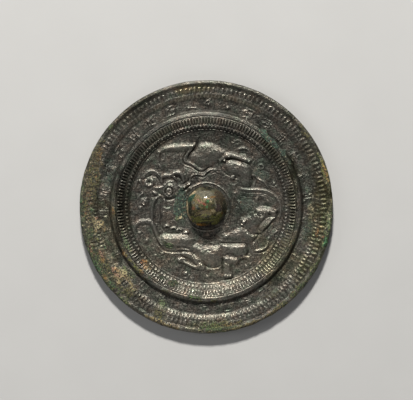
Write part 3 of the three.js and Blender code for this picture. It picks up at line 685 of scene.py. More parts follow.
# the same for the top of the knob
KNOB_SPOTS = [
    # The bone patch round the top is partly the knob's pale tone and partly a painted sheen round its
    # highlight.
    ("olive", 0, -1, 10.6, 7, 0, 0.8), ("bone", -1, 6.4, 5.4, 3, -10, 0.8),
    ("tan", -4.6, 2.6, 4.4, 3.4, -35, 0.8), ("umber", 7.4, 4, 2.9, 5.4, 8, 0.95),
    ("plum", 6.6, -1, 1.7, 2.6, 8, 0.9), ("black", 10, 0.8, 1.2, 2.6, 0, 0.8),
    ("olive", -2.4, -0.4, 4.2, 1.8, 0, 0.8), ("tan", -0.6, -3.4, 5.6, 1.9, 4, 0.85),
    ("bright moss", -0.3, -7.2, 7, 3, 0, 0.9), ("bright moss", 7.2, -4.6, 2.4, 1.6, 35, 0.8),
    # The plum band on the lower foot is partly its purple tone and partly painted shade on the underside;
    # the ivory line at the upper left is a painted highlight on the rim of the foot.
    ("plum", 0, -11.6, 9.6, 1.7, 0, 0.95), ("ivory highlight", -7.4, 7.4, 2.4, 0.5, 38, 1.0),
    ("blue green", -8.6, 4.6, 1.3, 2.1, -36, 1.0), ("blue green", -7.6, 5.8, 1.6, 0.8, 40, 0.9),
    ("teal", -8.8, 1.8, 0.8, 1.8, 0, 1.0), ("black", -8.9, -0.8, 0.9, 3.6, 0, 1.0),
    # The two ivory lines down the left of the foot are painted highlights.
    ("ivory highlight", -10.4, -0.6, 0.5, 3.6, 4, 0.9), ("ivory highlight", -9.3, -5.4, 0.5, 2.6, 24, 0.9),
    ("pink", -4, 3.2, 1.6, 0.6, -50, 1.0), ("ochre", 3.6, 5.4, 1.9, 0.5, 4, 1.0),
    # The cream streak at (0.4, 4.7) is a painted highlight where the lamp's highlight falls.
    ("cream", 0.4, 4.7, 1.8, 0.5, 8, 0.9), ("green", 0.8, 2.9, 0.9, 0.8, 0, 1.0),
    ("verdigris", -2.2, 1, 1, 0.6, 10, 0.9), ("bright rust", -1.1, 1.5, 1.2, 0.7, -24, 1.0),
    ("pink", -2.6, 2.4, 1.2, 0.5, -40, 1.0), ("umber", -4.4, 1.2, 1, 0.5, -30, 0.9),
    ("green", 0.3, 0, 0.6, 0.6, 0, 1.0), ("black", -4.2, -1, 1, 0.9, 0, 1.0),
    ("malachite", -5, 0.2, 1, 0.5, 20, 0.9), ("black", 3.6, 0.8, 0.9, 0.9, 0, 1.0),
    ("bone", -6.9, 2.3, 0.9, 0.9, 0, 1.0), ("rust", -7.2, -0.8, 1.1, 0.9, 0, 0.9),
    ("ochre", -6.9, -1, 0.4, 0.4, 0, 1.0), ("bone", 4.9, 2, 0.4, 2.4, 10, 0.9),
    ("cream", 2.4, 2.8, 0.6, 0.7, 0, 0.9), ("cream", 3.8, -2.3, 0.9, 0.7, 0, 0.9),
    ("umber", -1.6, -2, 3.8, 0.45, 12, 1.0), ("umber", -4.6, -4.8, 2.8, 0.42, 20, 1.0),
    ("tan", -1.4, -5.6, 4, 0.35, -12, 0.9), ("black", 1, -6.8, 4.4, 0.3, 6, 0.9),
    ("umber", -1, -8.6, 4.6, 0.4, 6, 1.0), ("olive", 2.4, -4.9, 3.6, 0.4, 24, 1.0),
    ("cream", 6.8, -3.6, 2.4, 0.3, 32, 0.8), ("bright moss", -7.8, -5.6, 0.9, 0.8, 0, 1.0),
    ("amber", -3.4, -9.9, 2.6, 0.6, -8, 1.0), ("black", 0.6, -5.4, 1.6, 0.4, 20, 0.8),
    ("cream", -6.2, -9.6, 1.6, 0.4, -40, 0.9), ("ochre", 8.7, -3.4, 0.9, 0.7, 30, 0.8),
    # The black slot at (0.8, 10.1) is a painted shadow in the mouth of the cord hole.
    ("black", 0.8, 10.1, 3.4, 0.7, 0, 1.0),
]
print(len(ARCS) + len(SPOTS) + len(KNOB_SPOTS), "patches of crust")

# %% [markdown]
# Under the crust the tarnish isn't even either, and these tints also paint light and shade into the colour.
# Each tint multiplies the colour of the metal over a soft-edged area, either an ellipse anywhere on the
# back or a stretch of one of the rings. Some make stretches darker and greener, browner or cleaner. Others
# are
# painted light: lighter on the comb, fine ring and crest where they face the lamp, on the tiger's haunch
# and, in part, over the beasts' bodies, and darker on the slopes of the ridge and rim at the top and on the
# comb ring's sides. The whole back is also painted darker towards the top and lighter towards the bottom.

# %% Tints of the tarnish, with painted light and shade
# Painted light and shade among these: 1.45 at (0, 47.6) and 1.1 at (-20, 43) light the comb ring at the
# top; 0.4, 0.5, 0.62 and 0.72 on the comb ring at the left and right darken its sides; 1.3 at (-17, -16.8)
# is a painted highlight on the tiger's haunch, and the tints above 1 over the beasts and the lower field
# are partly painted highlight.
# red, green, blue, x, y, half sizes, turn in degrees
TINTS_AND_PAINTED_LIGHT = [
    (0.92, 0.92, 0.74, 63, -12, 7, 22, -8), (0.95, 0.95, 0.8, 0, -66, 20, 3, 0),
    (0.9, 0.9, 0.76, -58, -22, 10, 30, -20), (0.95, 0.95, 0.8, 40, -30, 12, 14, 40),
    (0.84, 0.84, 0.84, 8, 56, 16, 3, 0), (0.84, 0.84, 0.84, 42, 45, 22, 7, -45),
    (0.8, 0.8, 0.78, 52, 34, 22, 4, -57), (0.7, 0.7, 0.68, 22, 46.4, 20, 1.8, -25),
    (1.1, 1.08, 1.06, -20, 43, 14, 2, 26), (0.55, 0.55, 0.55, 4, 40, 17, 4.5, 0),
    (0.65, 0.68, 0.66, 15, 35, 7, 4, -20), (0.6, 0.66, 0.64, 30, 21, 8, 6, -40),
    (0.78, 0.78, 0.8, -34, 0, 8, 13, 0), (0.64, 0.7, 0.68, 20, 2, 10, 10, 0),
    (0.88, 0.88, 0.88, -10, 12, 40, 10, 0), (0.84, 0.84, 0.84, -40, -50, 10, 3, -40),
    (0.84, 0.84, 0.84, 46, -42, 16, 4, 45), (1.45, 1.42, 1.38, 0, 47.6, 22, 2, 0),
    (1.1, 1.08, 1.06, 34, -6, 8, 12, 0), (1.3, 1.2, 0.9, -8, 65, 9, 2, 4),
    (0.75, 0.78, 0.75, -34, 30, 22, 5, 45), (0.4, 0.4, 0.4, -47.5, -2, 2.2, 24, 0),
    (0.5, 0.5, 0.5, -42, 24, 2.4, 12, -30), (0.62, 0.62, 0.52, 47.8, 4, 2.4, 20, 0),
    (0.72, 0.72, 0.66, 40, 26, 3, 14, 35), (0.8, 0.8, 0.78, 30, 60, 24, 4, -27),
    (0.74, 0.74, 0.66, 60, 26, 5, 20, 24), (0.74, 0.74, 0.6, 66, -8, 5, 26, -4),
    (0.7, 0.66, 0.56, -66, 18, 4, 14, 10), (0.65, 0.65, 0.62, 0, 67, 30, 1.2, 0),
    (0.6, 0.6, 0.56, -42, 52, 16, 3, 40), (0.7, 0.7, 0.68, -30, 60, 14, 3, 27),
    (0.98, 0.98, 0.98, -33, 33, 15, 2, 45), (0.8, 0.82, 0.78, 36, 36, 17, 2.4, -45),
    (0.74, 0.76, 0.72, 49, 17, 2.4, 14, 20), (0.7, 0.76, 0.76, -53, 20, 4, 8, 0),
    (0.84, 0.84, 0.84, -57, -2, 3.5, 8, 0), (0.66, 0.7, 0.7, 30, 48, 6, 3.4, -30),
    (0.75, 0.8, 0.78, 55, 14, 3, 8, 0), (0.75, 0.8, 0.78, 55, -12, 3, 7, 0),
    (0.7, 0.74, 0.7, 40, -40, 8, 3.4, 45), (0.74, 0.76, 0.74, 12, -57, 10, 3, 12),
    (0.74, 0.76, 0.74, -30, -48, 9, 3.4, -32), (0.8, 0.82, 0.8, 14, 52, 5, 2, -12),
    (1.3, 1.3, 1.28, -17, -16.8, 9, 2.4, 0), (1.2, 1.18, 1.14, 18, -34, 16, 6, 14),
    (1.15, 1.15, 1.12, -12, 33, 14, 3, 0), (1.12, 1.1, 1.04, -28, -27, 12, 8, -20),
    (1.15, 1.15, 1.1, 0, -30, 12, 5, 0), (0.95, 0.95, 0.94, 1, 28, 9, 6, 0),
    (1.09, 1.08, 1.06, 0, -26, 44, 16, 0),
]

# Painted light and shade among these: the first four darken the ridge's slope and crest at the top; 1.6 and
# 1.45 at clock 0, and 1.4 and 1.2 at 316 and 42, light the fine ring and comb at the top; 0.8 and 0.78
# darken the bevel at the top; 1.9 and the two 1.3 at clock 180 are painted highlights on the fine ring,
# crest and comb at the bottom.
# the same along a ring: red, green, blue, clock angle, radius, half length, half width
RING_TINTS_AND_PAINTED_LIGHT = [
    (0.68, 0.69, 0.7, 0, 51.7, 30, 1.6), (0.5, 0.52, 0.53, 316, 51.8, 18, 1.8),
    (0.64, 0.67, 0.66, 44, 51.8, 17, 1.8), (0.75, 0.76, 0.78, 352, 49.8, 18, 0.8),
    (1.6, 1.5, 1.35, 0, 61.2, 34, 1.2), (1.45, 1.42, 1.38, 0, 47.6, 24, 1.7),
    (1.4, 1.36, 1.3, 316, 47.6, 20, 1.7), (1.2, 1.2, 1.15, 42, 47.6, 18, 1.7),
    (0.8, 0.8, 0.77, 45, 69, 26, 1.3), (0.78, 0.78, 0.75, 318, 69, 24, 1.3),
    (1.9, 1.9, 1.84, 180, 61.3, 26, 1.4), (1.3, 1.3, 1.27, 180, 49.8, 22, 0.8),
    (1.3, 1.3, 1.26, 180, 46.5, 24, 3.4), (0.68, 0.67, 0.62, 219, 61.4, 14, 1.7),
    (0.84, 0.84, 0.8, 225, 49.6, 16, 1.2), (0.72, 0.73, 0.7, 233, 45.6, 13, 3),
    (0.86, 0.86, 0.84, 135, 44.4, 14, 1.4), (0.86, 0.86, 0.84, 90, 64, 20, 3),
    (0.5, 0.54, 0.5, 264, 69.2, 36, 1.9), (0.6, 0.6, 0.57, 226, 69.2, 26, 1.8),
    (0.74, 0.74, 0.72, 225, 64.6, 22, 2.8), (0.88, 0.88, 0.86, 270, 65, 24, 2.2),
]


def tint_and_painted_light(x, y):
    ragged = clouds(x, y, 6, 47, 4) - 0.5
    # Painted light: the metal is darker towards the top of the back and lighter towards the bottom.
    total = np.ones((len(x), 3)) * (0.95 - 0.1 * np.clip(y / 60, -1, 1))[:, None]
    for red, green, blue, px, py, a, b, turn in TINTS_AND_PAINTED_LIGHT:
        c, s = math.cos(math.radians(turn)), math.sin(math.radians(turn))
        u, v = (x - px) * c + (y - py) * s, (y - py) * c - (x - px) * s
        amount = ease((1.45 - np.hypot(u / a, v / b) + 1.8 * ragged) / 0.9)[:, None]
        total *= 1 + (np.array([red, green, blue]) - 1) * amount
    clock, r = np.degrees(np.arctan2(x, y)) % 360, np.hypot(x, y)
    for red, green, blue, at, radius, long, wide in RING_TINTS_AND_PAINTED_LIGHT:
        far = np.hypot(((clock - at + 180) % 360 - 180) * math.pi / 180 * r / long, (r - radius) / wide)
        amount = ease((1.45 - far + 1.2 * ragged) / 0.9)[:, None]
        total *= 1 + (np.array([red, green, blue]) - 1) * amount
    return total


print(len(TINTS_AND_PAINTED_LIGHT) + len(RING_TINTS_AND_PAINTED_LIGHT), "tints")

# %% [markdown]
# The patches now become numbers: how much of each colour lies at a point. Ragged noise is added
# to the distance from each patch's middle, which breaks its edge up as real corrosion does.

# %% Crust, with a little painted light, as numbers at any point of the back
def patch_and_light_layers(x, y):
    """Each patch's colour and how much of it lies at each point of the disc."""
    ragged = clouds(x, y, 5.5, 41, 5) - 0.5
    clock = np.degrees(np.arctan2(x, y)) % 360
    r = np.hypot(x, y)
    for name, at, radius, long, wide, amount in ARCS:
        turn = np.abs((clock - at + 180) % 360 - 180) * math.pi / 180 * r
        far = np.hypot(turn / long, (r - radius) / wide)
        yield PALETTE[name], amount * ease((1.4 - far + 3.2 * ragged) / 1.5)
    yield from spot_layers(SPOTS, x, y, 1.4 * ragged)


def spot_layers(spots, x, y, ragged, soft=0.6):
    for name, px, py, a, b, turn, amount in spots:
        c, s = math.cos(math.radians(turn)), math.sin(math.radians(turn))
        u, v = (x - px) * c + (y - py) * s, (y - py) * c - (x - px) * s
        yield PALETTE[name], amount * ease((1.0 + soft / 2 - np.hypot(u / a, v / b) + ragged) / soft)


def crust_and_painted_light(x, y):
    total = np.zeros(np.shape(x))
    for _, amount in patch_and_light_layers(x, y):
        total = np.maximum(total, amount)
    return total


print("crust at the left rim:", round(float(crust_and_painted_light(np.array([-67.0]), np.array([-4.0]))[0]), 2))

# %% [markdown]
# The back's height at any point is the sum of its parts: the turned profile, the teeth, the
# relief or the marks, and the crust. The outer ring has saw teeth that narrow inwards, the fine
# ring and the comb ring have bars, and the innermost ring has rungs between two thin rails.
# The fine ring is faint at the top of the mirror and clear at the bottom.

# %% Height of the back
PROFILE = [
    (0, FIELD_Z), (FIELD_R - 0.3, FIELD_Z), (FIELD_R, FIELD_Z + 0.05), (42.8, FIELD_Z + 0.55),
    (43.2, FIELD_Z + 0.3), (LADDER_INNER_R, 3.3), (LADDER_OUTER_R, LADDER_Z),
    (45.1, LADDER_Z + 0.35), (45.35, LADDER_Z + 0.1), (45.6, LADDER_Z + 0.45),
    (45.85, LADDER_Z + 0.15), (COMB_INNER_R, LADDER_Z + 0.3), (CREST_R - 0.4, CREST_Z - 0.35),
    (49.3, CREST_Z - 0.05), (49.6, CREST_Z), (49.95, CREST_Z - 0.3), (50.3, CREST_Z - 0.02),
    (50.8, CREST_Z - 0.08), (52.1, CREST_Z - 0.5), (52.5, CREST_Z - 0.85),
    (53.3, SCRIPT_Z + 0.2), (53.7, SCRIPT_Z - 0.05), (54.2, SCRIPT_Z), (59.5, SCRIPT_Z),
    (59.8, SCRIPT_Z + 0.15), (FINE_INNER_R, SCRIPT_Z + 0.3), (62.2, RIM_Z - 0.4),
    (62.45, RIM_Z - 0.2), (62.7, RIM_Z - 0.45), (SAW_INNER_R, RIM_Z - 0.42),
    (SAW_OUTER_R, RIM_Z - 0.38), (67, RIM_Z - 0.3), (BEVEL_R, RIM_Z), (68.6, RIM_Z - 0.04),
    (69.4, RIM_Z - 0.3), (69.8, RIM_Z - 0.7), (DISC_R, RIM_Z - 1.3),
]
PROFILE_R, PROFILE_Z = np.array(PROFILE).T


def teeth(r, clock, inner, outer, count, seed, shape):
    """Teeth between two radii, from 0 in a gap to 1 on a crest. Clock angles are in degrees."""
    across = (r - inner) / (outer - inner)
    here = (across > 0) & (across < 1)
    jitter = 0.14 * (noise(clock / 3, 0 * r, 1, seed) - 0.5)
    phase = (clock / 360 * count + jitter) % 1
    away = np.abs(phase - 0.5) * 2
    if shape == "saw":
        form = ease((0.42 + 0.34 * across - away) / 0.34)
    elif shape == "bar":
        form = ease((0.62 - away) / 0.4)
    else:
        rails = ease((np.abs(across - 0.5) - 0.28) / 0.12)
        form = np.maximum(ease((0.66 - away) / 0.3), rails)
    ends = ease(across / 0.12) * ease((1 - across) / 0.12)
    force = 0.75 + 0.5 * noise(clock / 7, r / 9, 1, seed + 3)
    return np.where(here, form * ends * force, 0)


def back(x, y):
    """Height of the back above the polished face at each point, in mm."""
    r = np.hypot(x, y)
    clock = np.degrees(np.arctan2(x, y)) % 360
    z = np.interp(r, PROFILE_R, PROFILE_Z)
    shell = crust_and_painted_light(x, y)
    worn = 1 - 0.65 * shell
    z = z + 0.34 * worn * teeth(r, clock, SAW_INNER_R + 0.1, SAW_OUTER_R - 0.1, SAW_TEETH, 61, "saw")
    near_side = np.clip(-y / 45, 0, 1)
    fine = teeth(r, clock, FINE_INNER_R, FINE_OUTER_R - 0.3, FINE_TEETH, 67, "bar")
    z = z + (0.18 + 0.4 * near_side) * worn * fine
    z = z + 0.68 * worn * teeth(r, clock, COMB_INNER_R + 0.1, CREST_R - 0.3, COMB_TEETH, 71, "bar")
    z = z + 0.5 * worn * teeth(r, clock, LADDER_INNER_R, LADDER_OUTER_R, RUNGS, 73, "rung")
    inner = ease((FIELD_R + 0.3 - r) / 0.5)
    z = z + inner * worn**0.3 * sample(relief, (y + HALF) / CELL, (x + HALF) / CELL)
    on_strip = (r > SCRIPT_INNER_R) & (r < FINE_INNER_R)
    along = clock / 360 * STRIP_LONG
    z = z + np.where(on_strip, worn * sample(strip, (r - SCRIPT_INNER_R) / STRIP_CELL, along), 0)
    outside = ease((r - FIELD_R) / 2)
    z = z + outside * (0.26 * (clouds(x, y, 2.1, 23) - 0.5) + 0.16 * (clouds(x, y, 8, 29) - 0.5))
    z = z + shell * (0.5 * (clouds(x, y, 2.0, 31) - 0.46) + 0.05)
    collar = np.abs(r - COLLAR_R)
    return z + 0.4 * ease(1 - collar / 0.5)


print("height at the ridge:", round(float(back(np.array([0.0]), np.array([49.5]))[0]), 2), "mm")

# %% [markdown]
# The mesh is a stack of rings. Each ring has as many points as its zone needs: a whole number
# per tooth in the toothed rings and fewer near the middle. Rings with different counts are
# joined by walking round both at once.

# %% Rings of points
rows = []


def ring(r, count, z=None, lump=0.0):
    """A ring at a radius. Without a height it lies on the back. Lump roughens it sideways."""
    turn = 2 * math.pi * np.arange(count) / count
    x, y = r * np.cos(turn), r * np.sin(turn)
    if lump:
        rough = crust_and_painted_light(x, y) * (clouds(x, y, 3, 83) - 0.35) + 0.35 * (clouds(x, y, 9, 89) - 0.5)
        x, y = x * (1 + lump * rough / r), y * (1 + lump * rough / r)
    height = back(x, y) if z is None else np.full(count, float(z))
    rows.append(np.c_[x, y, height])


FACE_FLAT_R = 40
for r in (12, 24, 34, FACE_FLAT_R):
    ring(r, 180, 0)
for r in (46, 52, 58, 63, 67, 69.2):
    ring(r, 180, (r - FACE_FLAT_R) / (DISC_R - FACE_FLAT_R) * 0.4)
for r, z in ((69.7, 0.45), (69.95, 0.8), (70, 1.5), (70, 2.3), (70, 3.1)):
    ring(r, 360, z, lump=0.8)
for r in (69.9, 69.7, 69.4, 69, 68.6, 68.3, 68.05, 67.7, 67.3, 67, 66.7):
    ring(r, 640, lump=0.8 if r > 69 else 0)
for r in np.linspace(SAW_OUTER_R, SAW_INNER_R, 7):
    ring(r, 6 * SAW_TEETH)
for r in np.linspace(FINE_OUTER_R, FINE_INNER_R, 6):
    ring(r, 6 * FINE_TEETH)
for r in [*np.linspace(FINE_INNER_R - 0.3, 54.2, 12), 53.7, 53.35, SCRIPT_INNER_R]:
    ring(r, 760)
for r in (52.7, 52.4, 52.1, 51.6, 51.1, 50.7, 50.3, 50.1, 49.95, 49.75, 49.5):
    ring(r, 560)
for r in np.linspace(CREST_R - 0.25, COMB_INNER_R, 7):
    ring(r, 6 * COMB_TEETH)
for r in (45.8, 45.55, 45.3, 45.05):
    ring(r, 4 * RUNGS)
for r in np.linspace(LADDER_OUTER_R, LADDER_INNER_R, 6):
    ring(r, 6 * RUNGS)
for r in (43.1, 42.8, 42.5):
    ring(r, 590)
for r in np.arange(42.1, 30, -0.4):
    ring(r, 590)
for r in np.arange(30.0, 20, -0.4):
    ring(r, 420)
for r in np.arange(20.0, KNOB_R + 0.3, -0.4):
    ring(r, 280)
print(len(rows), "rings,", sum(len(r) for r in rows), "points without the knob")

# %% [markdown]
# The knob is a pierced dome, cast with the disc. Its rings climb by angle, so that the steep
# foot gets as many as the top, and its surface is slightly lumpy.

# %% Knob
KNOB_RINGS = 32
for k in range(KNOB_RINGS):
    climb = math.pi / 2 * k / KNOB_RINGS
    count = 200 if k < 24 else 100
    turn = 2 * math.pi * np.arange(count) / count
    cx, cy = math.cos(climb) * np.cos(turn), math.cos(climb) * np.sin(turn)
    swell = 1 + 0.035 * (clouds(KNOB_R * cx + 3, KNOB_R * cy + math.sin(climb) * 7, 5, 97) - 0.5)
    foot = FIELD_Z - 0.05 if k == 0 else FIELD_Z
    z = foot + KNOB_RISE * math.sin(climb) * swell
    waist = 1 - 0.05 * float(ease((math.sin(climb) - 0.06) / 0.14))
    rows.append(np.c_[KNOB_R * waist * cx * swell, KNOB_R * waist * cy * swell, z])
print("knob of", KNOB_RINGS, "rings")

# %% [markdown]
# The rings become faces. Where two rings have as many points, the faces are squares. Where they
# differ, triangles are set by whichever ring is behind. The mirror's face closes the bottom.

# %% Join the rings
starts = np.cumsum([1] + [len(r) for r in rows])
points = np.vstack([[[0, 0, 0]], *rows, [[0, 0, FIELD_Z + KNOB_RISE]]])
faces = [(0, 1 + (j + 1) % len(rows[0]), 1 + j) for j in range(len(rows[0]))]
for k in range(len(rows) - 1):
    n, m, a0, b0 = len(rows[k]), len(rows[k + 1]), int(starts[k]), int(starts[k + 1])
    if n == m:
        faces += [(a0 + i, a0 + (i + 1) % n, b0 + (i + 1) % n, b0 + i) for i in range(n)]
        continue
    i = j = 0
    while i < n or j < m:
        if i < n and (j >= m or (i + 1) / n <= (j + 1) / m):
            faces.append((a0 + i, a0 + (i + 1) % n, b0 + j % m))
            i += 1
        else:
            faces.append((a0 + i % n, b0 + (j + 1) % m, b0 + j))
            j += 1
last = int(starts[-2])
faces += [(last + i, last + (i + 1) % len(rows[-1]), len(points) - 1) for i in range(len(rows[-1]))]
mesh = bpy.data.meshes.new("mirror_casting")
mesh.from_pydata(points * MM, [], faces)
casting = bpy.data.objects.new("mirror_casting", mesh)
bpy.context.scene.collection.objects.link(casting)
print(len(faces), "faces,", sum(len(f) - 2 for f in faces), "triangles")

# %% [markdown]
# The cord hole runs through the knob, from the top of the picture to the bottom. It is cut from
# the finished dome with a long arched bar, as the core in the mould left it.

# %% Cord hole
HOLE_WIDTH, HOLE_HEIGHT, HOLE_SILL = 5.6, 5.4, 0.3
half = HOLE_WIDTH / 2
arch = [(half, 0)] + [(half * math.cos(t), HOLE_HEIGHT - half + half * math.sin(t))
                      for t in np.linspace(0, math.pi, 17)] + [(-half, 0)]
stations = np.linspace(-12.2, 12.2, 13)
bar = []
for s, y in enumerate(stations):
    flare = 1 + 0.1 * abs(y / 12.2)**3
    bar += [(x * flare * MM, y * MM, (FIELD_Z + HOLE_SILL + z * flare) * MM) for x, z in arch]
n = len(arch)
bar_faces = [tuple(range(n))[::-1], tuple(range((len(stations) - 1) * n, len(stations) * n))]
for s in range(len(stations) - 1):
    bar_faces += [(s * n + i, s * n + (i + 1) % n, (s + 1) * n + (i + 1) % n,
                   (s + 1) * n + i) for i in range(n)]
core_mesh = bpy.data.meshes.new("cord_core")
core_mesh.from_pydata(bar, [], [f[::-1] for f in bar_faces])
core = bpy.data.objects.new("cord_core", core_mesh)
bpy.context.scene.collection.objects.link(core)
cut = casting.modifiers.new("cord_hole", "BOOLEAN")
cut.operation = "DIFFERENCE"
cut.object = core
cut.solver = "EXACT"
bpy.context.view_layer.update()
drilled = bpy.data.meshes.new_from_object(casting.evaluated_get(bpy.context.evaluated_depsgraph_get()))
casting.modifiers.clear()
casting.data = drilled
drilled.name = "mirror_casting"
bpy.data.objects.remove(core)
print("after the hole:", len(drilled.vertices), "points,", len(drilled.polygons), "faces")

# %% [markdown]
# The shader needs to know what only the geometry knows: how far each point stands out of its
# surroundings, whether it is on a beast's body, where the crust and the painted marks lie, what colour
# they are there, and how the tarnish and the painted light and shade tint the metal. They are worked out
# per point and stored on the mesh.

# %% Store the masks on the mesh
count = len(drilled.vertices)
flat = np.empty(count * 3, np.float32)
drilled.vertices.foreach_get("co", flat)
px, py, pz = (flat.reshape(-1, 3) / MM).astype(float).T
from_middle = np.hypot(px, py)
on_back = (pz > 2.2) & (from_middle < DISC_R + 0.5)
on_knob = from_middle < KNOB_R + 0.15
heights = back(px, py)
stand = np.zeros(count)
eighths = np.arange(8) * math.pi / 4
for reach, swing in ((0.6, 0.3), (1.3, 0.7)):
    around = sum(back(px + reach * math.cos(t), py + reach * math.sin(t)) for t in eighths) / 8
    stand += 0.6 * np.clip((heights - around) / swing, -1, 1)
stand = np.where((stand > 0) & (from_middle > 43), 0.75 * stand, stand)
# Painted highlight and shade: towards the top of the toothed rings the standing-out counts up to twice, so
# their crests take more of the bright colour and their gaps more of the dark.
in_teeth = (from_middle > 60) & (from_middle < 66.8)
stand *= np.where(in_teeth, 1 + np.clip((py - 40) / 20, 0, 1), 1)
stand = np.where(on_back & ~on_knob, np.clip(stand, -1, 1), 0)
stain_and_painted_light = np.zeros((count, 4), np.float32)
knob_grain = 0.9 * (clouds(px, py, 1.8, 43, 4) - 0.5)
knob_layers = spot_layers(KNOB_SPOTS, px, py, knob_grain, 0.25)
for chosen, layers in ((~on_knob, patch_and_light_layers(px, py)), (on_knob, knob_layers)):
    for colour, amount in layers:
        amount = np.where(chosen, amount, 0)
        stain_and_painted_light[:, :3] = stain_and_painted_light[:, :3] * (1 - amount[:, None]) + np.array(colour) * amount[:, None]
        stain_and_painted_light[:, 3] = np.maximum(stain_and_painted_light[:, 3], amount)
stain_and_painted_light[:, :3] /= np.maximum(stain_and_painted_light[:, 3:], 0.05)
# Painted shade: the inside of the cord hole is coloured nearly black, for the dark of the deep passage.
passage = on_knob & (np.abs(px) < HOLE_WIDTH / 2 + 0.05) & (pz < FIELD_Z + HOLE_SILL + HOLE_HEIGHT + 0.05)
stain_and_painted_light[passage] = (0.006, 0.0055, 0.005, 1)


def store(name, values, kind="FLOAT"):
    layer = drilled.attributes.new(name, kind, "POINT")
    numbers = np.ascontiguousarray(values, np.float32).ravel()
    layer.data.foreach_set("color" if kind == "FLOAT_COLOR" else "value", numbers)


raised = sample(CAST_DEPTH * soften(forms, 2), (py + HALF) / CELL, (px + HALF) / CELL)
inside = on_back & ~on_knob & (from_middle < FIELD_R)
store("body", np.where(inside, ease((raised - 0.15) / 0.6), 0))
store("stand", stand)
store("crust_and_painted_light", stain_and_painted_light[:, 3])
tone_and_light_values = np.c_[np.where(on_back[:, None] & ~on_knob[:, None], tint_and_painted_light(px, py), 1), np.ones(count)]
store("tint_and_painted_light", tone_and_light_values, "FLOAT_COLOR")
opaque = stain_and_painted_light.copy()
opaque[:, 3] = 1
store("stain_and_painted_light", opaque, "FLOAT_COLOR")
print("standing out from", round(float(stand.min()), 2), "to", round(float(stand.max()), 2))

# %% [markdown]
# A casting is smooth, but the rim of the drilled hole is crisp. Faces are also sorted here into
# back, knob and polished face, because each has its own finish.

# %% Shade smooth with sharp hole edges
drilled.polygons.foreach_set("use_smooth", np.ones(len(drilled.polygons), bool))
drilled.set_sharp_from_angle(angle=math.radians(50))
ON_KNOB, ON_FACE = 1, 2
zone = np.zeros(len(drilled.polygons), np.int32)
centres = np.empty(len(drilled.polygons) * 3, np.float32)
drilled.polygons.foreach_get("center", centres)
cxyz = centres.reshape(-1, 3) / MM
from_axis = np.hypot(cxyz[:, 0], cxyz[:, 1])
zone[(from_axis < KNOB_R + 0.1) & (cxyz[:, 2] > FIELD_Z)] = ON_KNOB
zone[cxyz[:, 2] < 0.6] = ON_FACE
print("faces on back, knob and polished face:", np.bincount(zone).tolist())

# %% [markdown]
# Three node groups carry the effects that the finishes share: patina, wear with painted highlight and
# shade, and crusting, which also lays painted light and shade.
# These helpers add a node and feed its sockets, so that each group reads as a short recipe.

# %% Node helpers
def feed(tree, socket, value):
    """Link a socket to another node's output, or set its value."""
    if isinstance(value, bpy.types.NodeSocket):
        tree.links.new(value, socket)
    else:
        socket.default_value = value


def wire(tree, kind, inputs=None, **settings):
    made = tree.nodes.new(kind)
    for key, value in settings.items():
        setattr(made, key, value)
    for key, value in (inputs or {}).items():
        feed(tree, made.inputs[key], value)
    return made


def group(name, sockets_in, sockets_out):
    tree = bpy.data.node_groups.new(name, "ShaderNodeTree")
    for label, kind, default in sockets_in:
        socket = tree.interface.new_socket(label, in_out="INPUT", socket_type=kind)
        if default is not None:
            socket.default_value = default
    for label, kind in sockets_out:
        tree.interface.new_socket(label, in_out="OUTPUT", socket_type=kind)
    return tree, tree.nodes.new("NodeGroupInput"), tree.nodes.new("NodeGroupOutput")


NUMBER, COLOUR, VECTOR = "NodeSocketFloat", "NodeSocketColor", "NodeSocketVector"


def cloud(tree, where, scale, detail=5, rough=0.6, distort=0.0):
    return wire(tree, "ShaderNodeTexNoise",
                {"Vector": where, "Scale": scale, "Detail": detail, "Roughness": rough,
                 "Distortion": distort})


def span(tree, value, low, high, out_low=0.0, out_high=1.0):
    made = wire(tree, "ShaderNodeMapRange", {"Value": value, "From Min": low, "From Max": high,
                                            "To Min": out_low, "To Max": out_high}, clamp=True)
    return made.outputs["Result"]


def blend(tree, factor, a, b, mode="MIX"):
    made = tree.nodes.new("ShaderNodeMix")
    made.data_type = "RGBA"
    made.blend_type = mode
    for index, value in ((0, factor), (6, a), (7, b)):
        feed(tree, made.inputs[index], value)
    return made.outputs[2]


def maths(tree, operation, a, b=0.0, c=0.0):
    made = wire(tree, "ShaderNodeMath", {0: a, 1: b}, operation=operation)
    if operation == "MULTIPLY_ADD":
        feed(tree, made.inputs[2], c)
    return made.outputs[0]


print("helpers ready")

# %% [markdown]
# Tarnished bronze is never one colour. Noise at three sizes mixes a light and a dark tone, other
# noise makes parts warmer, cooler or sooty, and fine grit keeps it from looking painted.

# %% Group: patina
patina, gin, gout = group("patina",
                          [("Vector", VECTOR, None), ("Light", COLOUR, (0.2, 0.19, 0.16, 1)),
                           ("Dark", COLOUR, (0.1, 0.095, 0.08, 1)), ("Scale", NUMBER, 130.0),
                           ("Warmth", COLOUR, (1.16, 0.97, 0.9, 1)),
                           ("Coolness", COLOUR, (0.78, 1.0, 0.9, 1))],
                          [("Color", COLOUR), ("Mask", NUMBER), ("Height", NUMBER)])


def finer(factor):
    return maths(patina, "MULTIPLY", gin.outputs["Scale"], factor)


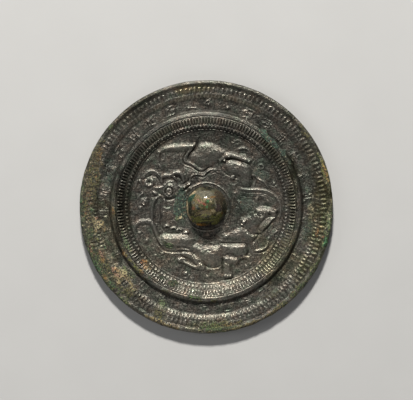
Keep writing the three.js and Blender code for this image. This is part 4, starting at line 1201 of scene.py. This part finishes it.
broad = cloud(patina, gin.outputs["Vector"], gin.outputs["Scale"], 3, 0.55, 0.5).outputs["Fac"]
broad = span(patina, broad, 0.34, 0.66)
medium = cloud(patina, gin.outputs["Vector"], finer(3.2), 3, 0.6, 0.3).outputs["Fac"]
medium = span(patina, medium, 0.34, 0.66)
small = cloud(patina, gin.outputs["Vector"], finer(7.5), 4, 0.65).outputs["Fac"]
layers = maths(patina, "MULTIPLY_ADD", medium, 0.3, maths(patina, "MULTIPLY", broad, 0.35))
tone = span(patina, maths(patina, "MULTIPLY_ADD", small, 1.1, layers), 0.55, 1.2)
mixed = blend(patina, tone, gin.outputs["Dark"], gin.outputs["Light"])
hue = cloud(patina, gin.outputs["Vector"], finer(1.7), 5, 0.65).outputs["Fac"]
warmer = blend(patina, 1.0, mixed, gin.outputs["Warmth"], "MULTIPLY")
cooler = blend(patina, 1.0, mixed, gin.outputs["Coolness"], "MULTIPLY")
mixed = blend(patina, span(patina, hue, 0.5, 0.66), mixed, warmer)
mixed = blend(patina, span(patina, hue, 0.48, 0.32), mixed, cooler)
soot = cloud(patina, gin.outputs["Vector"], finer(1.3), 6, 0.8).outputs["Fac"]
mixed = blend(patina, span(patina, soot, 0.53, 0.66, 0.0, 0.8), mixed, (0.022, 0.022, 0.018, 1))
grit = cloud(patina, gin.outputs["Vector"], finer(10), 2, 0.7).outputs["Fac"]
grit_colour = blend(patina, span(patina, grit, 0.33, 0.67), (0.35, 0.35, 0.35, 1), (1.65, 1.65, 1.65, 1))
mixed = blend(patina, 1.0, mixed, grit_colour, "MULTIPLY")
patina.links.new(mixed, gout.inputs["Color"])
patina.links.new(tone, gout.inputs["Mask"])
patina.links.new(small, gout.inputs["Height"])
print("patina group:", len(patina.nodes), "nodes")

# %% [markdown]
# The high places are rubbed bright: partly wear from hands and cloths, partly a painted highlight on the
# edges and bodies that catch the lamp. The low ones are dark: partly dirt that has stayed there, partly
# painted shade.
# The group reads how far each point stands out and gives back how polished and lit, and how dirty and
# shaded, it is.

# %% Group: wear, with painted highlight and shade
wear_and_painted_light, gin, gout = group("wear_and_painted_light",
                        [("Color", COLOUR, (0.2, 0.2, 0.2, 1)),
                         ("Stand", NUMBER, 0.0), ("Body", NUMBER, 0.0),
                         ("Polish and Highlight", COLOUR, (0.3, 0.288, 0.25, 1)),
                         ("Dirt and Painted Shade", COLOUR, (0.014, 0.013, 0.009, 1)),
                         ("Polish and Highlight Amount", NUMBER, 0.6), ("Dirt and Shade Amount", NUMBER, 0.85)],
                        [("Color", COLOUR), ("Polished and Highlit", NUMBER), ("Dirty and Shaded", NUMBER)])
# Painted highlight as well as wear: raised places, and a little of the beasts' bodies, take the bright
# polish colour.
tops = span(wear_and_painted_light, gin.outputs["Stand"], 0.1, 0.9)
rubbed_and_highlit_tops = maths(wear_and_painted_light, "MAXIMUM", tops, maths(wear_and_painted_light, "MULTIPLY", gin.outputs["Body"], 0.3))
high = maths(wear_and_painted_light, "MULTIPLY", rubbed_and_highlit_tops, gin.outputs["Polish and Highlight Amount"])
# Painted shade as well as dirt: hollows take the nearly black colour.
deep = maths(wear_and_painted_light, "MULTIPLY", span(wear_and_painted_light, gin.outputs["Stand"], -0.2, -1.0), gin.outputs["Dirt and Shade Amount"])
shade = blend(wear_and_painted_light, deep, blend(wear_and_painted_light, high, gin.outputs["Color"], gin.outputs["Polish and Highlight"]),
              gin.outputs["Dirt and Painted Shade"])
wear_and_painted_light.links.new(shade, gout.inputs["Color"])
wear_and_painted_light.links.new(high, gout.inputs["Polished and Highlit"])
wear_and_painted_light.links.new(deep, gout.inputs["Dirty and Shaded"])
print("wear group:", len(wear_and_painted_light.nodes), "nodes")

# %% [markdown]
# The crust is granular: crumbs of green, orange, cream and black in a ground of one mineral.
# The grain also decides where the crust ends, so its edge is made of crumbs and not of a line.
# The same group lays the knob's painted highlights and shade and the painted dark inside the cord hole.

# %% Group: crusting, which also lays painted light and shade
mineral_coat_and_painted_light, gin, gout = group("mineral_coat_and_painted_light",
                            [("Vector", VECTOR, None), ("Color", COLOUR, (0.2, 0.2, 0.2, 1)),
                             ("Mineral and Painted Light", COLOUR, (0.1, 0.2, 0.12, 1)), ("Amount", NUMBER, 0.0),
                             ("Scale", NUMBER, 420.0)],
                            [("Color", COLOUR), ("Mask", NUMBER), ("Height", NUMBER)])
grain = cloud(mineral_coat_and_painted_light, gin.outputs["Vector"], gin.outputs["Scale"], 6, 0.7).outputs["Fac"]
centred = maths(mineral_coat_and_painted_light, "SUBTRACT", gin.outputs["Amount"], 0.45)
mask = span(mineral_coat_and_painted_light, maths(mineral_coat_and_painted_light, "MULTIPLY_ADD", grain, 0.9, centred), 0.22, 0.5)
speck_scale = maths(mineral_coat_and_painted_light, "MULTIPLY", gin.outputs["Scale"], 3.2)
speck = cloud(mineral_coat_and_painted_light, gin.outputs["Vector"], speck_scale, 3, 0.7)
mineral_and_light = gin.outputs["Mineral and Painted Light"]
# shift of the noise, where the crumbs begin and are whole, and their colour
CRUMBS = [
    (0.011, 0.54, 0.63, (0.016, 0.038, 0.016, 1)),
    (0.023, 0.585, 0.66, (0.14, 0.06, 0.03, 1)),
    (0.037, 0.56, 0.64, (0.24, 0.21, 0.15, 1)),
    (0.051, 0.5, 0.6, (0.012, 0.011, 0.008, 1)),
]
for shift, low, high, speck_colour in CRUMBS:
    moved = wire(mineral_coat_and_painted_light, "ShaderNodeVectorMath", {0: gin.outputs["Vector"],
                                                    1: (shift, 2 * shift, shift)}, operation="ADD")
    crumb_scale = maths(mineral_coat_and_painted_light, "MULTIPLY", gin.outputs["Scale"], 1.6)
    where = cloud(mineral_coat_and_painted_light, moved.outputs["Vector"], crumb_scale, 5, 0.7)
    mineral_and_light = blend(mineral_coat_and_painted_light, span(mineral_coat_and_painted_light, where.outputs["Fac"], low, high, 0.0, 0.85), mineral_and_light,
                    speck_colour)
lit = blend(mineral_coat_and_painted_light, span(mineral_coat_and_painted_light, speck.outputs["Fac"], 0.41, 0.6), (0.02, 0.02, 0.02, 1),
            (2.15, 2.1, 1.9, 1))
mineral_and_light = blend(mineral_coat_and_painted_light, 1.0, mineral_and_light, lit, "MULTIPLY")
mineral_coat_and_painted_light.links.new(blend(mineral_coat_and_painted_light, mask, gin.outputs["Color"], mineral_and_light), gout.inputs["Color"])
mineral_coat_and_painted_light.links.new(mask, gout.inputs["Mask"])
mineral_coat_and_painted_light.links.new(maths(mineral_coat_and_painted_light, "MULTIPLY", grain, mask), gout.inputs["Height"])
print("crusting group:", len(mineral_coat_and_painted_light.nodes), "nodes")

# %% [markdown]
# The finishes: dark bronze of the decorated back, the mottled knob, and the plain polished
# face, which has gone dull. Each is one Principled shader fed by the groups.

# %% Materials: back, knob and polished face
def finish_of(name):
    made = bpy.data.materials.new(name)
    made.use_nodes = True
    tree = made.node_tree
    shader = tree.nodes["Principled BSDF"]
    where = tree.nodes.new("ShaderNodeTexCoord").outputs["Object"]
    return made, tree, shader, where


def placed(tree, source, inputs):
    made = tree.nodes.new("ShaderNodeGroup")
    made.node_tree = source
    for key, value in inputs.items():
        feed(tree, made.inputs[key], value)
    return made.outputs


def stored(tree, name):
    return wire(tree, "ShaderNodeAttribute", attribute_name=name)


def dress(tree, shader, where, light, dark, rough, metal, bump, scale=130.0, dulling=0.35, crumbs=420.0):
    base = placed(tree, patina, {"Vector": where, "Light": light, "Dark": dark, "Scale": scale})
    worn_lit_and_shaded = placed(tree, wear_and_painted_light, {"Color": base["Color"], "Stand": stored(tree, "stand").outputs["Fac"],
                                  "Body": stored(tree, "body").outputs["Fac"]})
    toned_and_lit = blend(tree, 1.0, worn_lit_and_shaded["Color"], stored(tree, "tint_and_painted_light").outputs["Color"], "MULTIPLY")
    coat_and_painted_light = placed(tree, mineral_coat_and_painted_light, {"Vector": where, "Color": toned_and_lit,
                                     "Mineral and Painted Light": stored(tree, "stain_and_painted_light").outputs["Color"],
                                     "Amount": stored(tree, "crust_and_painted_light").outputs["Fac"], "Scale": crumbs})
    tree.links.new(coat_and_painted_light["Color"], shader.inputs["Base Color"])
    dull = span(tree, base["Mask"], 0, 1, rough + 0.08, rough - 0.06)
    dull = maths(tree, "MULTIPLY_ADD", worn_lit_and_shaded["Dirty and Shaded"], 0.2, dull)
    dull = maths(tree, "MULTIPLY_ADD", worn_lit_and_shaded["Polished and Highlit"], -0.2, dull)
    dull = maths(tree, "MULTIPLY_ADD", coat_and_painted_light["Mask"], dulling, dull)
    tree.links.new(dull, shader.inputs["Roughness"])
    shine = maths(tree, "MULTIPLY_ADD", worn_lit_and_shaded["Polished and Highlit"], 0.2,
                  span(tree, base["Mask"], 0, 1, metal - 0.25, metal))
    bare = maths(tree, "SUBTRACT", 1.0, coat_and_painted_light["Mask"])
    tree.links.new(maths(tree, "MULTIPLY", shine, bare), shader.inputs["Metallic"])
    height = maths(tree, "MULTIPLY_ADD", coat_and_painted_light["Height"], 2.0, base["Height"])
    relief_bump = wire(tree, "ShaderNodeBump", {"Height": height, "Strength": bump, "Distance": 0.0007})
    tree.links.new(relief_bump.outputs["Normal"], shader.inputs["Normal"])


back_finish, tree, shader, where = finish_of("dark_bronze")
dress(tree, shader, where, (0.154, 0.144, 0.121, 1), (0.036, 0.035, 0.029, 1), 0.39, 0.85, 0.6)
knob_finish, tree, shader, where = finish_of("knob_bronze")
dress(tree, shader, where, (0.115, 0.108, 0.066, 1), (0.022, 0.02, 0.011, 1), 0.62, 0.04, 0.3, 260.0, 0.0,
      1300.0)
shader.inputs["Specular IOR Level"].default_value = 0.12
shader.inputs["Coat Weight"].default_value = 0.5
shader.inputs["Coat Roughness"].default_value = 0.07
face_finish, tree, shader, where = finish_of("polished_face")
dress(tree, shader, where, (0.26, 0.255, 0.23, 1), (0.12, 0.115, 0.1, 1), 0.32, 0.9, 0.3)
for made in (back_finish, knob_finish, face_finish):
    drilled.materials.append(made)
drilled.polygons.foreach_set("material_index", zone)
print("finishes:", [m.name for m in drilled.materials])

# %% [markdown]
# The casting takes the place of the solid mirror and rides on its only body.

# %% Hand the casting to the frame
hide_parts("mirror")
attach(casting, "root")
print("the casting stands for the solid mirror")

# %% [markdown]
# The mirror lies on a plain pale floor. The camera looks straight down on it, as the photograph
# does, and the main light comes low from the top of the picture, so that every upper edge of
# the relief shines and the knob throws a shadow downwards.

# %% Floor
floor_mesh = bpy.data.meshes.new("floor")
floor_mesh.from_pydata([(-3, -3, 0), (3, -3, 0), (3, 3, 0), (-3, 3, 0)], [], [(0, 1, 2, 3)])
floor = bpy.data.objects.new("floor", floor_mesh)
bpy.context.scene.collection.objects.link(floor)
floor.location.z = -0.00005
paper, tree, shader, where = finish_of("pale_floor")
fleck = cloud(tree, where, 30.0, 3, 0.5).outputs["Fac"]
tree.links.new(blend(tree, fleck, (0.42, 0.42, 0.415, 1), (0.45, 0.45, 0.445, 1)),
               shader.inputs["Base Color"])
shader.inputs["Roughness"].default_value = 0.8
floor_mesh.materials.append(paper)
floor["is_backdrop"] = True
print("floor placed")

# %% [markdown]
# One small lamp stands beyond the top of the picture and does nearly all the work. Two weak
# large ones, from the left and from below, keep the shaded slopes from going black.

# %% Lights
def lamp(name, place, aim, size, power, colour=(1, 1, 1)):
    data = bpy.data.lights.new(name, "AREA")
    data.shape = "RECTANGLE"
    data.size, data.size_y = size
    data.energy = power
    data.color = colour
    made = bpy.data.objects.new(name, data)
    bpy.context.scene.collection.objects.link(made)
    made.location = place
    made.rotation_euler = (Vector(aim) - Vector(place)).to_track_quat("-Z", "Y").to_euler()
    return made


lamp("key", (-0.08, 1.82, 1.24), (0, 0, 0), (0.3, 0.2), 96.0, (1.0, 0.975, 0.93))
lamp("left_fill", (-1.0, 0.1, 0.6), (0, 0, 0), (0.5, 0.5), 2.1, (1.0, 0.99, 0.97))
lamp("near_fill", (-0.1, -0.9, 0.75), (0, 0, 0), (1.3, 0.9), 2.8, (1.0, 0.98, 0.95))
world = bpy.data.worlds.new("studio")
world.use_nodes = True
world.node_tree.nodes["Background"].inputs["Color"].default_value = (0.9, 0.93, 1.0, 1)
world.node_tree.nodes["Background"].inputs["Strength"].default_value = 0.1
bpy.context.scene.world = world
bpy.context.scene.view_settings.view_transform = "Standard"
print("three lamps and a soft surround")

# %% [markdown]
# The camera looks straight down from far away, so the round mirror stays round. One pixel is a
# fixed share of a millimetre, and the mirror sits in the frame where the photograph has it.

# %% Camera
WIDTH_PX, HEIGHT_PX = 413, 400
DISC_R_PX = 126.8
PX = DISC_R / DISC_R_PX
lens, sensor = 200.0, 36.0
distance = WIDTH_PX * PX * lens / sensor
centre_px = (206.3, 206.8)
aim_x = (WIDTH_PX / 2 - centre_px[0]) * PX
aim_y = (centre_px[1] - HEIGHT_PX / 2) * PX
camera = bpy.data.objects.new("camera", bpy.data.cameras.new("camera"))
camera.data.lens = lens
camera.data.sensor_width = sensor
camera.data.clip_start = 0.01
camera.location = (aim_x * MM, aim_y * MM, (distance + RIM_Z) * MM)
camera.rotation_euler = (0, 0, 0)
bpy.context.scene.collection.objects.link(camera)
bpy.context.scene.camera = camera
print("camera", round(distance), "mm above the rim")

# %% [markdown]
# The box round the finished mesh is printed beside the solid model's, to compare the two.

# %% Sizes of both models
new_box = [[float(v) for v in corner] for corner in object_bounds()]
print("visual box in mm:", [[round(v / MM, 2) for v in corner] for corner in new_box])
